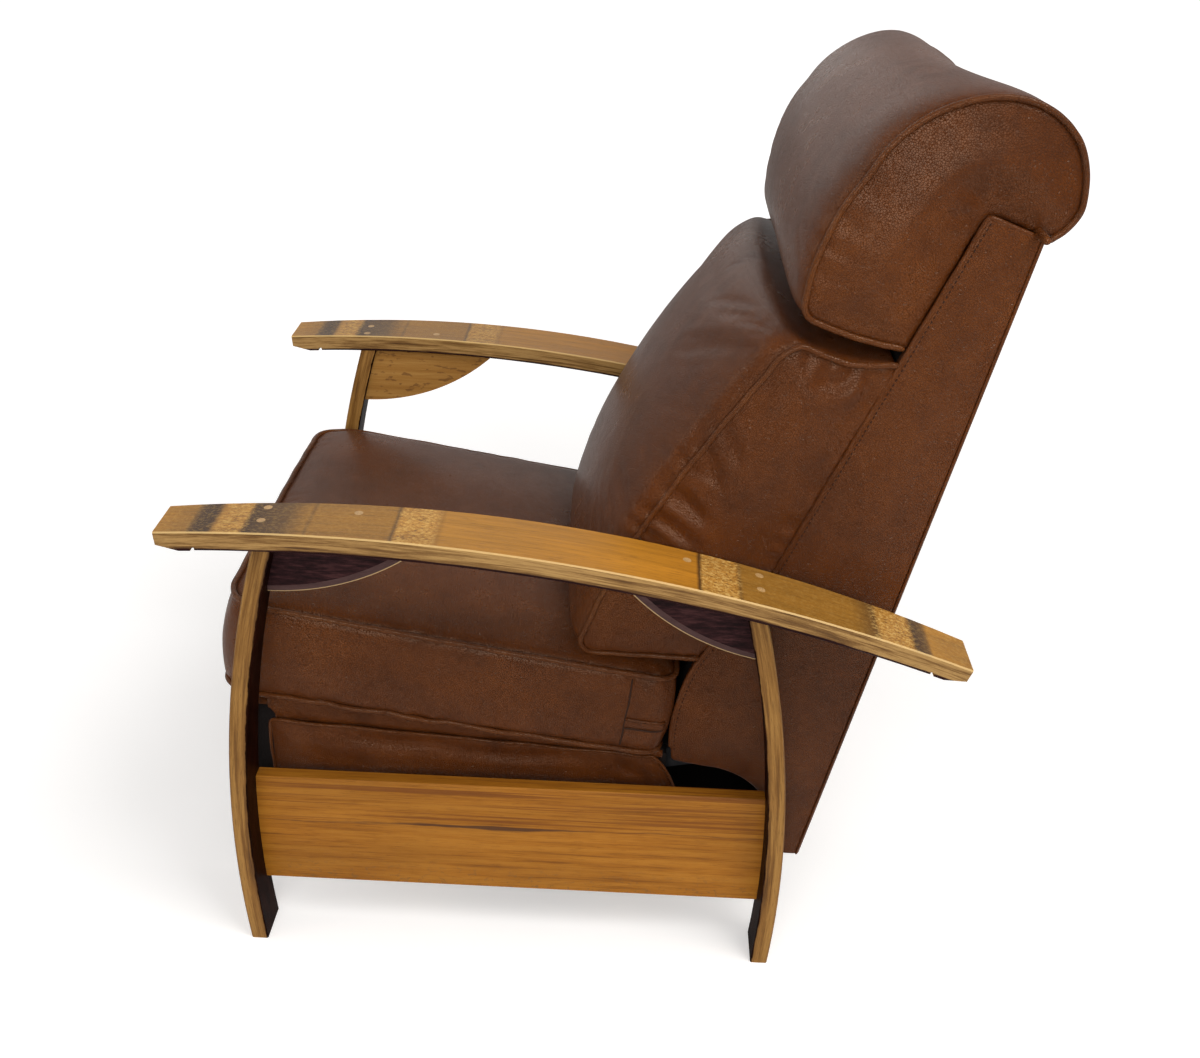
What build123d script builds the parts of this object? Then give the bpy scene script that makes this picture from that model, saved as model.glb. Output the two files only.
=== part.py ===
from build123d import *
import math
import os

os.makedirs("parts", exist_ok=True)

# Push-back reclining armchair with a frame of barrel staves and leather upholstery.
# The floor is z = 0, the chair faces -Y, and the sitter's left is +X.
# Side outlines are written as (y, z) points, in millimetres.

overrun = 5.0
fit_gap = 0.5
bore_clearance = 0.05

# Arms: whole barrel staves, bent to the barrel's belly and tilted down to the rear
arm_centre_x = 321.0
arm_radius = 2050.0
arm_chord = 949.0
arm_tilt = 8.25
arm_chord_z = 558.0
arm_thickness = 24.0
arm_end_width = 66.0
arm_mid_width = 90.0
arm_edge_bevel = 1.6
chime_length = 26.0
chime_depth = 8.0
croze_from_end = 42.0
croze_width = 5.0
croze_depth = 4.0

# Legs: shorter staves that stand on edge, their hollow faces towards each other
leg_inner_x = 283.0
leg_width = 57.0
leg_thickness = 22.0
leg_radius = 1600.0
leg_edge_bevel = 1.5
front_foot_y = -420.0
front_leg_head_y = -364.0
front_leg_head_z = 600.0
rear_foot_y = 273.5
rear_leg_head_y = 231.0
rear_leg_head_z = 530.0

# Side rails: boards from a barrel head, let in between the hollow faces of the legs
rail_inner_x = 280.0
rail_thickness = 20.0
rail_bottom_z = 73.0
rail_height = 170.0
rail_edge_bevel = 1.5

# Corbels: quarter pieces of a barrel head under each arm
corbel_inner_x = 291.0
corbel_thickness = 20.0
head_radius = 290.0
head_bevel_width = 13.0
head_bevel_depth = 9.0
front_corbel_foot_z = 524.5
front_corbel_reach = 204.0
rear_corbel_foot_z = 458.0
rear_corbel_reach = 186.0

# Screws that hold the arms, and the oak plugs that hide them
plug_radius = 5.0
plug_depth = 8.0
plug_pair_spread = 32.0
arm_screw_head_radius = 4.4
arm_screw_head_height = 3.0
arm_screw_radius = 2.2
leg_screw_length = 46.0
corbel_screw_length = 44.0
front_corbel_screw_y = -246.0
rear_corbel_screw_y = 134.0

# Cross stretchers under the mechanism, with corner brackets to the side rails
stretcher_width = 45.0
stretcher_height = 45.0
stretcher_bottom_z = 82.0
front_stretcher_y = -202.5
rear_stretcher_y = 82.5
bracket_steel = 3.0
bracket_arm = 40.0
bracket_height = 35.0
wood_screw_head_radius = 4.5
wood_screw_head_height = 2.4
wood_screw_radius = 2.0
wood_screw_length = 17.0

# Steel mechanism: flat parts in layers that pass each other
plate_steel = 3.0
layer_gap = 1.0
seat_plate_x = 230.0
pivot_radius = 4.0
pivot_clearance = 0.05
rivet_head_radius = 7.0
rivet_head_height = 1.7
rivet_head_gap = 0.3
link_end_radius = 12.0
tie_tube_radius = 9.0
tie_tube_wall = 1.5
base_rail_height = 45.0
base_rail_foot = 28.0
base_rail_front_y = -235.0
base_rail_rear_y = 112.0

# Swing links that carry the seat
swing_length = 100.0
swing_lean = 20.0
swing_pivot_z = 150.0
front_swing_pivot_y = -205.0
rear_swing_pivot_y = 60.0

# Footrest links, folded up at rest
footrest_link_length = 160.0
footrest_fold_angle = 80.0
footrest_rise_angle = 14.0
footrest_pivot_y = -336.0
footrest_pivot_z = 298.0

# Back hinge and its brackets
back_hinge_ear = 15.0
bolt_head_radius = 6.0
bolt_head_height = 2.5
bolt_radius = 3.0
bolt_length = 18.0
bolt_shares = (0.62, 0.96)

# Seat: everything on it follows the slope of the cushion
seat_tilt = 7.6
cushion_half_width = 274.0
cushion_length = 559.0
cushion_rear_gap = 8.0
cushion_rear_bottom_z = 279.0
cushion_front_thickness = 134.0
cushion_rear_thickness = 120.0
cushion_crown = 27.0
cushion_draw_in = 5.0
cushion_bow = 2.5
cushion_front_corner = 44.0
cushion_rear_corner = 26.0
deck_thickness = 6.0
deck_front_y = -392.0
seat_board_thickness = 18.0
seat_board_height = 70.0
seat_board_front_y = -372.0
seat_board_rear_gap = 4.0
seat_rail_thickness = 22.0
seat_front_rail_height = 20.0
seat_rear_rail_height = 32.0
seat_rear_rail_gap = 7.0
seat_front_rail_setback = 17.0
skirt_thickness = 4.7
skirt_bottom_z = 190.0
skirt_front_top_z = 301.0
skirt_rear_top_z = 270.0
skirt_rear_top_y = 108.0
skirt_rear_bottom_y = 139.0
skirt_curve = 12.0
seat_plate_front_y = -298.0

# Zigzag seat springs
spring_wire = 1.9
spring_turn = 18.0
spring_run = 26.0
spring_drop = 16.0
spring_count = 4
spring_spread = 104.0
spring_end_gap = 0.3

# Footrest board and pad
footrest_board_rear_y = -364.0
footrest_board_thickness = 12.0
footrest_board_half_width = 228.0
footrest_board_bottom_z = 192.0
footrest_board_top_z = 308.0
footrest_pad_half_width = 254.0
footrest_pad_thickness = 14.0
footrest_pad_crown = 9.0
footrest_pad_bottom_z = 186.0
footrest_pad_top_z = 314.0
footrest_pad_corner = 14.0
footrest_pad_bow = 0.5
footrest_flange = 30.0
footrest_web_bottom_z = 216.0

# Back: side panels, cross rails, straps and cover
back_half_width = 260.0
back_panel_thickness = 23.0
back_toe_y = 130.0
back_depth = 354.5
back_foot_z = 120.0
back_height = 871.0
cover_thickness = 5.0
top_rail_setback = 5.5
back_rail_thickness = 20.0
mid_rail_width = 42.0
bottom_rail_height = 36.0
strap_width = 42.0
strap_thickness = 2.0
strap_setback = 9.0
strap_shares = (0.05, 0.25, 0.45, 0.65, 0.85)

# Back cushion and headrest: their depth in front of the back frame's sloping front edge
cushion_clearance = 0.3
back_cushion_lift = 25.0
back_cushion_depth = 165.0
back_cushion_swell = 50.0
back_cushion_rise = 30.0
headrest_half_width = 256.0
headrest_height = 274.0
headrest_reach_share = 0.5584
headrest_heel_share = 0.3815
headrest_heel_lift = 2.7
headrest_depth = 190.0
headrest_swell = 24.0
headrest_rise = 14.0

# A panel's corners, as shares of the back's depth and of its height
panel_outline_shares = {
    "top_front": (0.838, 1.0), "top_rear": (1.0, 0.975), "seam_mid": (0.319, 0.501),
    "seam_low": (0.079, 0.346), "toe_bulge": (0.025, 0.285), "toe_front": (0.0, 0.202),
    "toe_bottom": (0.006, 0.17), "belly_front": (0.13, 0.161), "belly_rear": (0.245, 0.149),
    "belly_bend": (0.355, 0.108), "foot_front": (0.457, 0.0), "foot_rear": (0.499, 0.0),
    "hinge": (0.127, 0.163), "bracket_top": (0.31, 0.312)}

# Outlines of the welted ends: shares of the depth ahead of the seam, and of the height
back_cushion_end_shares = {
    "front_low": (0.793, 0.005), "nose": (1.002, 0.068), "nose_bend": (0.914, 0.022),
    "belly": (1.107, 0.454), "belly_bend": (1.11, 0.251), "chest": (0.834, 0.928),
    "chest_bend": (0.998, 0.688), "top": (0.691, 1.01), "top_bend": (0.799, 0.986),
    "rear_top": (0.0, 0.971), "dip": (0.317, 0.966), "rear_mid": (0.0, 0.319),
    "rear_low": (0.0, 0.0)}
headrest_end_shares = {
    "rear_low": (0.0, 0.0), "chin": (0.575, 0.095), "chin_bend": (0.331, 0.047),
    "nose": (0.736, 0.19), "nose_bend": (0.677, 0.128), "brow": (0.762, 0.712),
    "brow_bend": (0.809, 0.434), "crown": (0.291, 1.0), "crown_bend": (0.621, 0.92),
    "rear": (-0.447, 0.653), "rear_bend": (-0.156, 0.898), "heel_bend": (-0.485, 0.547)}

# How far the middle swells forward and rises, as shares of the full swell and rise
back_cushion_swell_shares = {
    "front_low": (0.44, 1.0), "nose": (0.6, 0.73), "nose_bend": (0.62, 1.0),
    "belly": (0.96, 0.87), "belly_bend": (0.88, 0.67), "chest": (0.92, 1.0),
    "chest_bend": (1.0, 1.0), "top": (0.6, 0.73), "top_bend": (0.84, 0.87),
    "rear_top": (0.0, 0.0), "dip": (0.16, 0.27), "rear_mid": (0.0, 0.0), "rear_low": (0.0, 0.8)}
headrest_swell_shares = {
    "rear_low": (0.0, 0.0), "chin": (0.5, 0.57), "chin_bend": (0.25, 0.43),
    "nose": (0.75, 0.29), "nose_bend": (0.67, 0.57), "brow": (0.83, 1.0),
    "brow_bend": (1.0, 0.57), "crown": (0.17, 0.57), "crown_bend": (0.5, 1.0),
    "rear": (0.0, 0.0), "rear_bend": (0.0, 0.14), "heel_bend": (0.0, 0.0)}
station_shares = ((1.0, 0.0), (0.93, 0.42), (0.7, 0.78), (0.35, 0.96), (0.0, 1.0))

nodes = {}


# Helpers

def toward(point, other, distance):
    """The point that lies a distance from one point on the way to another."""
    length = math.dist(point, other)
    return tuple(a + (b - a) * distance / length for a, b in zip(point, other))


def along(point, angle, distance):
    """The point at a distance in a direction given in degrees."""
    a = math.radians(angle)
    return (point[0] + distance * math.cos(a), point[1] + distance * math.sin(a))


def circle_centre(first, last, radius):
    """Centre of the circle through two points, to the left of the way from first to last."""
    half = math.dist(first, last) / 2
    middle = ((first[0] + last[0]) / 2, (first[1] + last[1]) / 2)
    heading = math.degrees(math.atan2(last[1] - first[1], last[0] - first[0]))
    return along(middle, heading + 90, math.sqrt(radius ** 2 - half ** 2))


def disc(centre, radius):
    return Pos(*centre) * Circle(radius)


def window(y_low, y_high, z_low, z_high):
    middle = Pos((y_low + y_high) / 2, (z_low + z_high) / 2)
    return middle * Rectangle(y_high - y_low, z_high - z_low)


def polygon(*points):
    return make_face(Polyline(*points, close=True))


def side_solid(face, x_low, thickness):
    """Extrude a side outline across the chair, from x_low."""
    return extrude(Plane.YZ.offset(x_low) * face, amount=thickness)


def block(x_low, x_high, y_low, y_high, z_low, z_high):
    return side_solid(window(y_low, y_high, z_low, z_high), x_low, x_high - x_low)


def cross_pin(centre, radius, x_low, x_high):
    return side_solid(disc(centre, radius), x_low, x_high - x_low)


def upright_pin(x, y, radius, z_low, z_high):
    return Pos(x, y, (z_low + z_high) / 2) * Cylinder(radius, z_high - z_low)


def link_face(first, last, radius):
    """A flat bar with round ends."""
    middle = ((first[0] + last[0]) / 2, (first[1] + last[1]) / 2)
    heading = math.degrees(math.atan2(last[1] - first[1], last[0] - first[0]))
    return Pos(*middle) * Rot(0, 0, heading) * SlotCenterToCenter(math.dist(first, last), 2 * radius)


def mirrored(solid):
    return mirror(solid, about=Plane.YZ)


def keep(name, solid):
    nodes[name] = solid


def keep_pair(name, solid):
    """Keep a piece of the +X side, and its mirror image on the other side."""
    keep(name + "_left", solid)
    keep(name + "_right", mirrored(solid))


def keep_group(name, solids):
    keep(name, Compound(children=list(solids)))


def with_mirror_images(solids):
    return list(solids) + [mirrored(s) for s in solids]


def bevel_long_edges(solid, width, shortest):
    """Bevel the long edges of a board, which run from one end of it to the other."""
    edges = [e for e in solid.edges() if e.length > shortest]
    return chamfer(edges, width)


# Arm staves

arm_chord_middle = (0.0, arm_chord_z)
arm_front_top = along(arm_chord_middle, 180 - arm_tilt, arm_chord / 2)
arm_rear_top = along(arm_chord_middle, -arm_tilt, arm_chord / 2)
arm_circle = circle_centre(arm_rear_top, arm_front_top, arm_radius)
arm_inner_radius = arm_radius - arm_thickness
under_arm = disc(arm_circle, arm_inner_radius)


def arm_top_z(y):
    return arm_circle[1] + math.sqrt(arm_radius ** 2 - (y - arm_circle[0]) ** 2)


def arm_under_z(y):
    return arm_circle[1] + math.sqrt(arm_inner_radius ** 2 - (y - arm_circle[0]) ** 2)


def arm_end_cuts(end_top, turn):
    """The bevel under one end of the stave, and the groove that held the barrel's head."""
    angle = math.degrees(math.atan2(end_top[1] - arm_circle[1], end_top[0] - arm_circle[0]))
    degrees_per_mm = turn * math.degrees(1 / arm_inner_radius)
    corner = along(arm_circle, angle, arm_inner_radius)
    below = along(corner, angle + 180, overrun)
    outside = along(below, angle - turn * 90, overrun)
    bevel = polygon(
        outside,
        along(outside, angle, overrun + chime_depth),
        along(corner, angle, chime_depth),
        along(arm_circle, angle + chime_length * degrees_per_mm, arm_inner_radius),
        along(arm_circle, angle + chime_length * degrees_per_mm, arm_inner_radius - overrun))
    groove_angle = angle + croze_from_end * degrees_per_mm
    groove = Pos(*along(arm_circle, groove_angle, arm_inner_radius))
    groove = groove * Rot(0, 0, groove_angle) * Rectangle(2 * croze_depth, croze_width)
    return bevel + groove


def arm_stave():
    wedge = polygon(
        arm_circle,
        toward(arm_circle, arm_front_top, arm_radius + arm_chord),
        toward(arm_circle, arm_rear_top, arm_radius + arm_chord))
    side = (disc(arm_circle, arm_radius) - under_arm) & wedge
    side = side - arm_end_cuts(arm_front_top, -1) - arm_end_cuts(arm_rear_top, 1)
    blank = side_solid(side, arm_centre_x - arm_mid_width, 2 * arm_mid_width)
    front = (arm_front_top[0] - overrun, arm_end_width / 2)
    rear = (arm_rear_top[0] + overrun, arm_end_width / 2)
    middle = ((front[0] + rear[0]) / 2, arm_mid_width / 2)
    plan = make_face([
        ThreePointArc((-front[1], front[0]), (-middle[1], middle[0]), (-rear[1], rear[0])),
        Line((-rear[1], rear[0]), (rear[1], rear[0])),
        ThreePointArc((rear[1], rear[0]), (middle[1], middle[0]), (front[1], front[0])),
        Line((front[1], front[0]), (-front[1], front[0]))])
    stave = blank & (Pos(arm_centre_x, 0, 0) * extrude(plan, amount=arm_radius))
    return bevel_long_edges(stave, arm_edge_bevel, arm_chord / 2)


# Legs

front_leg_circle = circle_centre(
    (front_leg_head_y, front_leg_head_z), (front_foot_y, 0), leg_radius)
rear_leg_circle = circle_centre((rear_foot_y, 0), (rear_leg_head_y, rear_leg_head_z), leg_radius)
leg_inner_radius = leg_radius - leg_thickness
between_legs = disc(front_leg_circle, leg_inner_radius) & disc(rear_leg_circle, leg_inner_radius)
leg_centre_x = leg_inner_x + leg_width / 2


def leg_stave(circle, foot_y):
    reach = leg_width + leg_thickness
    ring = disc(circle, leg_radius) - disc(circle, leg_inner_radius)
    tall = window(foot_y - 2 * reach, foot_y + 2 * reach, 0, arm_chord_z + leg_width + reach)
    stave = side_solid(ring & tall & under_arm, leg_inner_x, leg_width)
    return bevel_long_edges(stave, leg_edge_bevel, rear_leg_head_z / 2)


def leg_middle_y(circle, side, z):
    """Where the middle of a leg's thickness lies at height z; side is -1 for the front leg."""
    radius = leg_radius - leg_thickness / 2
    return circle[0] + side * math.sqrt(radius ** 2 - (z - circle[1]) ** 2)


front_leg_head = leg_middle_y(front_leg_circle, -1, front_leg_head_z)
rear_leg_head = leg_middle_y(rear_leg_circle, 1, rear_leg_head_z)


# Corbels and side rails

def corbel(start, end):
    """A quarter of a barrel head; start and end lie on its rim, start at the front."""
    rim_centre = circle_centre(start, end, head_radius)
    y_low = min(start[0], end[0]) - leg_thickness
    y_high = max(start[0], end[0]) + leg_thickness
    area = window(y_low, y_high, min(start[1], end[1]) - head_radius, arm_chord_z + head_radius)
    area = area & under_arm & between_legs
    board = side_solid(area & disc(rim_centre, head_radius), corbel_inner_x, corbel_thickness)
    rim = [e for e in board.edges().filter_by(GeomType.CIRCLE)
           if abs(e.radius - head_radius) < fit_gap
           and e.center().X > corbel_inner_x + corbel_thickness / 2]
    side = board.faces().sort_by(Axis.X)[-1]
    return chamfer(rim, head_bevel_width, head_bevel_depth, reference=side)


def front_leg_face_y(z):
    return front_leg_circle[0] - math.sqrt(leg_inner_radius ** 2 - (z - front_leg_circle[1]) ** 2)


def rear_leg_face_y(z):
    return rear_leg_circle[0] + math.sqrt(leg_inner_radius ** 2 - (z - rear_leg_circle[1]) ** 2)


front_rim_start = (front_leg_face_y(front_corbel_foot_z), front_corbel_foot_z)
front_rim_end_y = front_rim_start[0] + front_corbel_reach
front_rim_end = (front_rim_end_y, arm_under_z(front_rim_end_y))
rear_rim_end = (rear_leg_face_y(rear_corbel_foot_z), rear_corbel_foot_z)
rear_rim_start_y = rear_rim_end[0] - rear_corbel_reach
rear_rim_start = (rear_rim_start_y, arm_under_z(rear_rim_start_y))


def side_rail():
    area = window(front_foot_y, rear_foot_y, rail_bottom_z, rail_bottom_z + rail_height)
    board = side_solid(area & between_legs, rail_inner_x, rail_thickness)
    return bevel_long_edges(board, rail_edge_bevel, 2 * rail_height)


# Arm screws and plugs

corbel_centre_x = corbel_inner_x + corbel_thickness / 2
arm_fixings = [
    (leg_centre_x - plug_pair_spread / 2, front_leg_head, leg_screw_length),
    (leg_centre_x + plug_pair_spread / 2, front_leg_head, leg_screw_length),
    (leg_centre_x - plug_pair_spread / 2, rear_leg_head, leg_screw_length),
    (leg_centre_x + plug_pair_spread / 2, rear_leg_head, leg_screw_length),
    (corbel_centre_x, front_corbel_screw_y, corbel_screw_length),
    (corbel_centre_x, rear_corbel_screw_y, corbel_screw_length)]


def arm_plug(x, y):
    top = arm_top_z(y)
    peg = upright_pin(x, y, plug_radius, top - plug_depth, top + plug_radius)
    return peg & side_solid(disc(arm_circle, arm_radius), x - plug_radius, 2 * plug_radius)


def arm_screw(x, y, length, slack=0.0):
    """A screw whose head lies under the plug; slack makes it the hole for one."""
    seat = arm_top_z(y) - plug_depth
    under_head = seat - arm_screw_head_height - slack
    head = upright_pin(x, y, arm_screw_head_radius + slack, under_head, seat)
    return head + upright_pin(x, y, arm_screw_radius + slack, seat - length - slack, under_head)


def arm_bore(x, y, length):
    top = arm_top_z(y)
    counterbore = upright_pin(x, y, plug_radius + bore_clearance, top - plug_depth, top + overrun)
    return counterbore + arm_screw(x, y, length, bore_clearance)


plugs = [arm_plug(x, y) for x, y, length in arm_fixings]
arm_screws = [arm_screw(*place) for place in arm_fixings]
screw_bores = [arm_screw(*place, bore_clearance) for place in arm_fixings]

arm = arm_stave()
front_leg = leg_stave(front_leg_circle, front_foot_y)
rear_leg = leg_stave(rear_leg_circle, rear_foot_y)
front_corbel = corbel(front_rim_start, front_rim_end)
rear_corbel = corbel(rear_rim_start, rear_rim_end)
rail = side_rail()

for place in arm_fixings:
    arm = arm - arm_bore(*place)
front_leg = front_leg - screw_bores[0] - screw_bores[1]
rear_leg = rear_leg - screw_bores[2] - screw_bores[3]
front_corbel = front_corbel - screw_bores[4]
rear_corbel = rear_corbel - screw_bores[5]


# Cross stretchers, corner brackets and base rails

stretcher_top_z = stretcher_bottom_z + stretcher_height
link_x = seat_plate_x - layer_gap - plate_steel
inner_link_x = link_x - layer_gap - plate_steel
bracket_x = inner_link_x - layer_gap - plate_steel


def stretcher(y):
    return block(-rail_inner_x, rail_inner_x, y - stretcher_width / 2, y + stretcher_width / 2,
                 stretcher_bottom_z, stretcher_top_z)


def corner_bracket(face_y, direction):
    """Steel angle in the corner of a stretcher's face and the side rail; direction is along Y."""
    z_low = stretcher_bottom_z + (stretcher_height - bracket_height) / 2
    thin = face_y + direction * bracket_steel
    far = face_y + direction * bracket_arm
    on_stretcher = block(rail_inner_x - bracket_arm, rail_inner_x, min(face_y, thin),
                         max(face_y, thin), z_low, z_low + bracket_height)
    on_rail = block(rail_inner_x - bracket_steel, rail_inner_x, min(face_y, far),
                    max(face_y, far), z_low, z_low + bracket_height)
    return on_stretcher + on_rail


def wood_screw(place, heading, slack=0.0):
    """A round-head screw with its head's underside at place; slack makes it the hole for one."""
    axis = Plane(origin=place, z_dir=heading)
    head = axis.offset(-wood_screw_head_height) * Circle(wood_screw_head_radius)
    shank = axis.offset(-wood_screw_head_height) * Circle(wood_screw_radius + slack)
    shank = extrude(shank, amount=wood_screw_head_height + wood_screw_length + slack)
    return shank if slack else extrude(head, amount=wood_screw_head_height) + shank


front_stretcher_face = front_stretcher_y + stretcher_width / 2
rear_stretcher_face = rear_stretcher_y - stretcher_width / 2
stretcher_middle_z = stretcher_bottom_z + stretcher_height / 2
bracket_screw_setback = bracket_arm * 2 / 3
base_foot_x = inner_link_x + plate_steel - base_rail_foot
base_screw_x = base_foot_x + (base_rail_foot - plate_steel) / 2
base_top_z = stretcher_top_z + plate_steel
brackets = []
screw_places = []
for face_y, direction in ((front_stretcher_face, 1), (rear_stretcher_face, -1)):
    brackets.append(corner_bracket(face_y, direction))
    screw_places.append(((rail_inner_x - bracket_screw_setback, face_y + direction * bracket_steel,
                          stretcher_middle_z), (0, -direction, 0)))
    screw_places.append(((rail_inner_x - bracket_steel, face_y + direction * bracket_screw_setback,
                          stretcher_middle_z), (1, 0, 0)))
for y in (front_stretcher_y, rear_stretcher_y):
    screw_places.append(((base_screw_x, y, base_top_z), (0, 0, -1)))
frame_screws = [wood_screw(*place) for place in screw_places]
screw_holes = [wood_screw(*place, bore_clearance) for place in screw_places]

front_stretcher = stretcher(front_stretcher_y)
rear_stretcher = stretcher(rear_stretcher_y)
for hole in with_mirror_images([screw_holes[0], screw_holes[4]]):
    front_stretcher = front_stretcher - hole
for hole in with_mirror_images([screw_holes[2], screw_holes[5]]):
    rear_stretcher = rear_stretcher - hole
brackets = [brackets[0] - screw_holes[0] - screw_holes[1], brackets[1] - screw_holes[2] - screw_holes[3]]
rail = rail - screw_holes[1] - screw_holes[3]

front_swing_low = (front_swing_pivot_y, swing_pivot_z)
rear_swing_low = (rear_swing_pivot_y, swing_pivot_z)
front_swing_high = along(front_swing_low, 90 - swing_lean, swing_length)
rear_swing_high = along(rear_swing_low, 90 - swing_lean, swing_length)
hole_radius = pivot_radius + pivot_clearance

base_rail = block(inner_link_x, inner_link_x + plate_steel, base_rail_front_y, base_rail_rear_y,
                  stretcher_top_z, stretcher_top_z + base_rail_height)
base_rail = base_rail + block(base_foot_x, inner_link_x, base_rail_front_y, base_rail_rear_y,
                              stretcher_top_z, base_top_z)
base_rail = base_rail - screw_holes[4] - screw_holes[5]
for low in (front_swing_low, rear_swing_low):
    base_rail = base_rail - cross_pin(low, hole_radius, inner_link_x, inner_link_x + plate_steel)


def rivet(place, x_low, x_high, head_low, head_high):
    """A pivot pin across two layers of steel, with a head at either end or none."""
    pin_low = x_low - rivet_head_gap if head_low else x_low
    pin_high = x_high + rivet_head_gap if head_high else x_high
    pin = cross_pin(place, pivot_radius, pin_low, pin_high)
    if head_low:
        pin = pin + cross_pin(place, rivet_head_radius, pin_low - rivet_head_height, pin_low)
    if head_high:
        pin = pin + cross_pin(place, rivet_head_radius, pin_high, pin_high + rivet_head_height)
    return pin


base_pins = [rivet(low, inner_link_x, link_x + plate_steel, True, True)
             for low in (front_swing_low, rear_swing_low)]


# Swing links

def link(first, last, x_low, holes):
    face = link_face(first, last, link_end_radius)
    for place in holes:
        face = face - disc(place, hole_radius)
    return side_solid(face, x_low, plate_steel)


def tie_tube(place):
    """A tube between the left and the right link of a pair."""
    tube = disc(place, tie_tube_radius) - disc(place, tie_tube_radius - tie_tube_wall)
    return side_solid(tube, -link_x, 2 * link_x)


def midway(first, last):
    return ((first[0] + last[0]) / 2, (first[1] + last[1]) / 2)


front_swing = link(front_swing_low, front_swing_high, link_x, (front_swing_low, front_swing_high))
rear_swing = link(rear_swing_low, rear_swing_high, link_x, (rear_swing_low, rear_swing_high))
swing_tube = tie_tube(midway(front_swing_low, front_swing_high))


# Footrest links

footrest_pivot = (footrest_pivot_y, footrest_pivot_z)
folded_reach = 2 * footrest_link_length * math.cos(math.radians(footrest_fold_angle))
drive_pivot = along(footrest_pivot, -footrest_rise_angle, folded_reach)
knee = along(drive_pivot, 180 - footrest_rise_angle + footrest_fold_angle, footrest_link_length)
drive_link = link(drive_pivot, knee, link_x, (drive_pivot,))
drive_link = drive_link + rivet(knee, inner_link_x, link_x, True, False)
reach_link = link(knee, footrest_pivot, inner_link_x, (knee, footrest_pivot))
drive_tube = tie_tube(midway(drive_pivot, knee))

footrest_web = disc(footrest_pivot, link_end_radius) + polygon(
    (footrest_board_rear_y, footrest_pivot_z + link_end_radius / 2),
    (footrest_pivot_y, footrest_pivot_z + link_end_radius),
    (footrest_pivot_y + link_end_radius, footrest_pivot_z),
    (footrest_board_rear_y + link_end_radius, footrest_web_bottom_z),
    (footrest_board_rear_y, footrest_web_bottom_z))
footrest_bracket = side_solid(footrest_web, bracket_x, plate_steel)
footrest_bracket = footrest_bracket + block(
    bracket_x - footrest_flange, bracket_x, footrest_board_rear_y,
    footrest_board_rear_y + plate_steel, footrest_web_bottom_z,
    footrest_board_top_z - link_end_radius)
footrest_bracket = footrest_bracket + rivet(
    footrest_pivot, inner_link_x - layer_gap, inner_link_x + plate_steel, False, True)

footrest_board = block(
    -footrest_board_half_width, footrest_board_half_width,
    footrest_board_rear_y - footrest_board_thickness, footrest_board_rear_y,
    footrest_board_bottom_z, footrest_board_top_z)


# Lines of the back frame

def panel_point(name):
    depth_share, height_share = panel_outline_shares[name]
    return (back_toe_y + depth_share * back_depth, back_foot_z + height_share * back_height)


panel = {name: panel_point(name) for name in panel_outline_shares}
back_hinge = panel["hinge"]


def seam_y(z):
    """The front edge of the back frame at height z: two straight stretches."""
    end = panel["top_front"] if z > panel["seam_mid"][1] else panel["seam_low"]
    slope = (end[0] - panel["seam_mid"][0]) / (end[1] - panel["seam_mid"][1])
    return panel["seam_mid"][0] + slope * (z - panel["seam_mid"][1])


# Seat frame

cushion_rear_y = back_toe_y - cushion_rear_gap
cushion_front_y = cushion_rear_y - cushion_length
seat_board_rear_y = back_toe_y - seat_board_rear_gap
seat_rear_rail_y = back_toe_y - seat_rear_rail_gap
seat_slope = math.tan(math.radians(seat_tilt))


def cushion_bottom_z(y):
    return cushion_rear_bottom_z + (cushion_rear_y - y) * seat_slope


def under_deck_z(y, drop=0.0):
    return cushion_bottom_z(y) - deck_thickness - drop


def sloped_face(y_front, y_rear, drop, height):
    """A side outline under the deck, whose top and bottom follow the seat's slope."""
    return polygon(
        (y_front, under_deck_z(y_front, drop)), (y_rear, under_deck_z(y_rear, drop)),
        (y_rear, under_deck_z(y_rear, drop + height)), (y_front, under_deck_z(y_front, drop + height)))


seat_board_x = seat_plate_x + plate_steel
seat_board_outer_x = seat_board_x + seat_board_thickness
seat_board = side_solid(
    sloped_face(seat_board_front_y, seat_board_rear_y, 0, seat_board_height),
    seat_board_x, seat_board_thickness)
seat_front_rail_y = footrest_pivot_y + seat_front_rail_setback
seat_front_rail = side_solid(
    sloped_face(seat_front_rail_y - seat_rail_thickness / 2,
                seat_front_rail_y + seat_rail_thickness / 2, 0, seat_front_rail_height),
    -seat_board_x, 2 * seat_board_x)
seat_rear_rail = side_solid(
    sloped_face(seat_rear_rail_y - seat_rail_thickness / 2 + fit_gap,
                seat_rear_rail_y + seat_rail_thickness / 2, 0, seat_rear_rail_height),
    -seat_plate_x, 2 * seat_plate_x)
seat_deck = side_solid(
    polygon((deck_front_y, cushion_bottom_z(deck_front_y)),
            (cushion_rear_y, cushion_bottom_z(cushion_rear_y)),
            (cushion_rear_y, under_deck_z(cushion_rear_y)),
            (deck_front_y, under_deck_z(deck_front_y))),
    -seat_board_outer_x, 2 * seat_board_outer_x)

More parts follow.
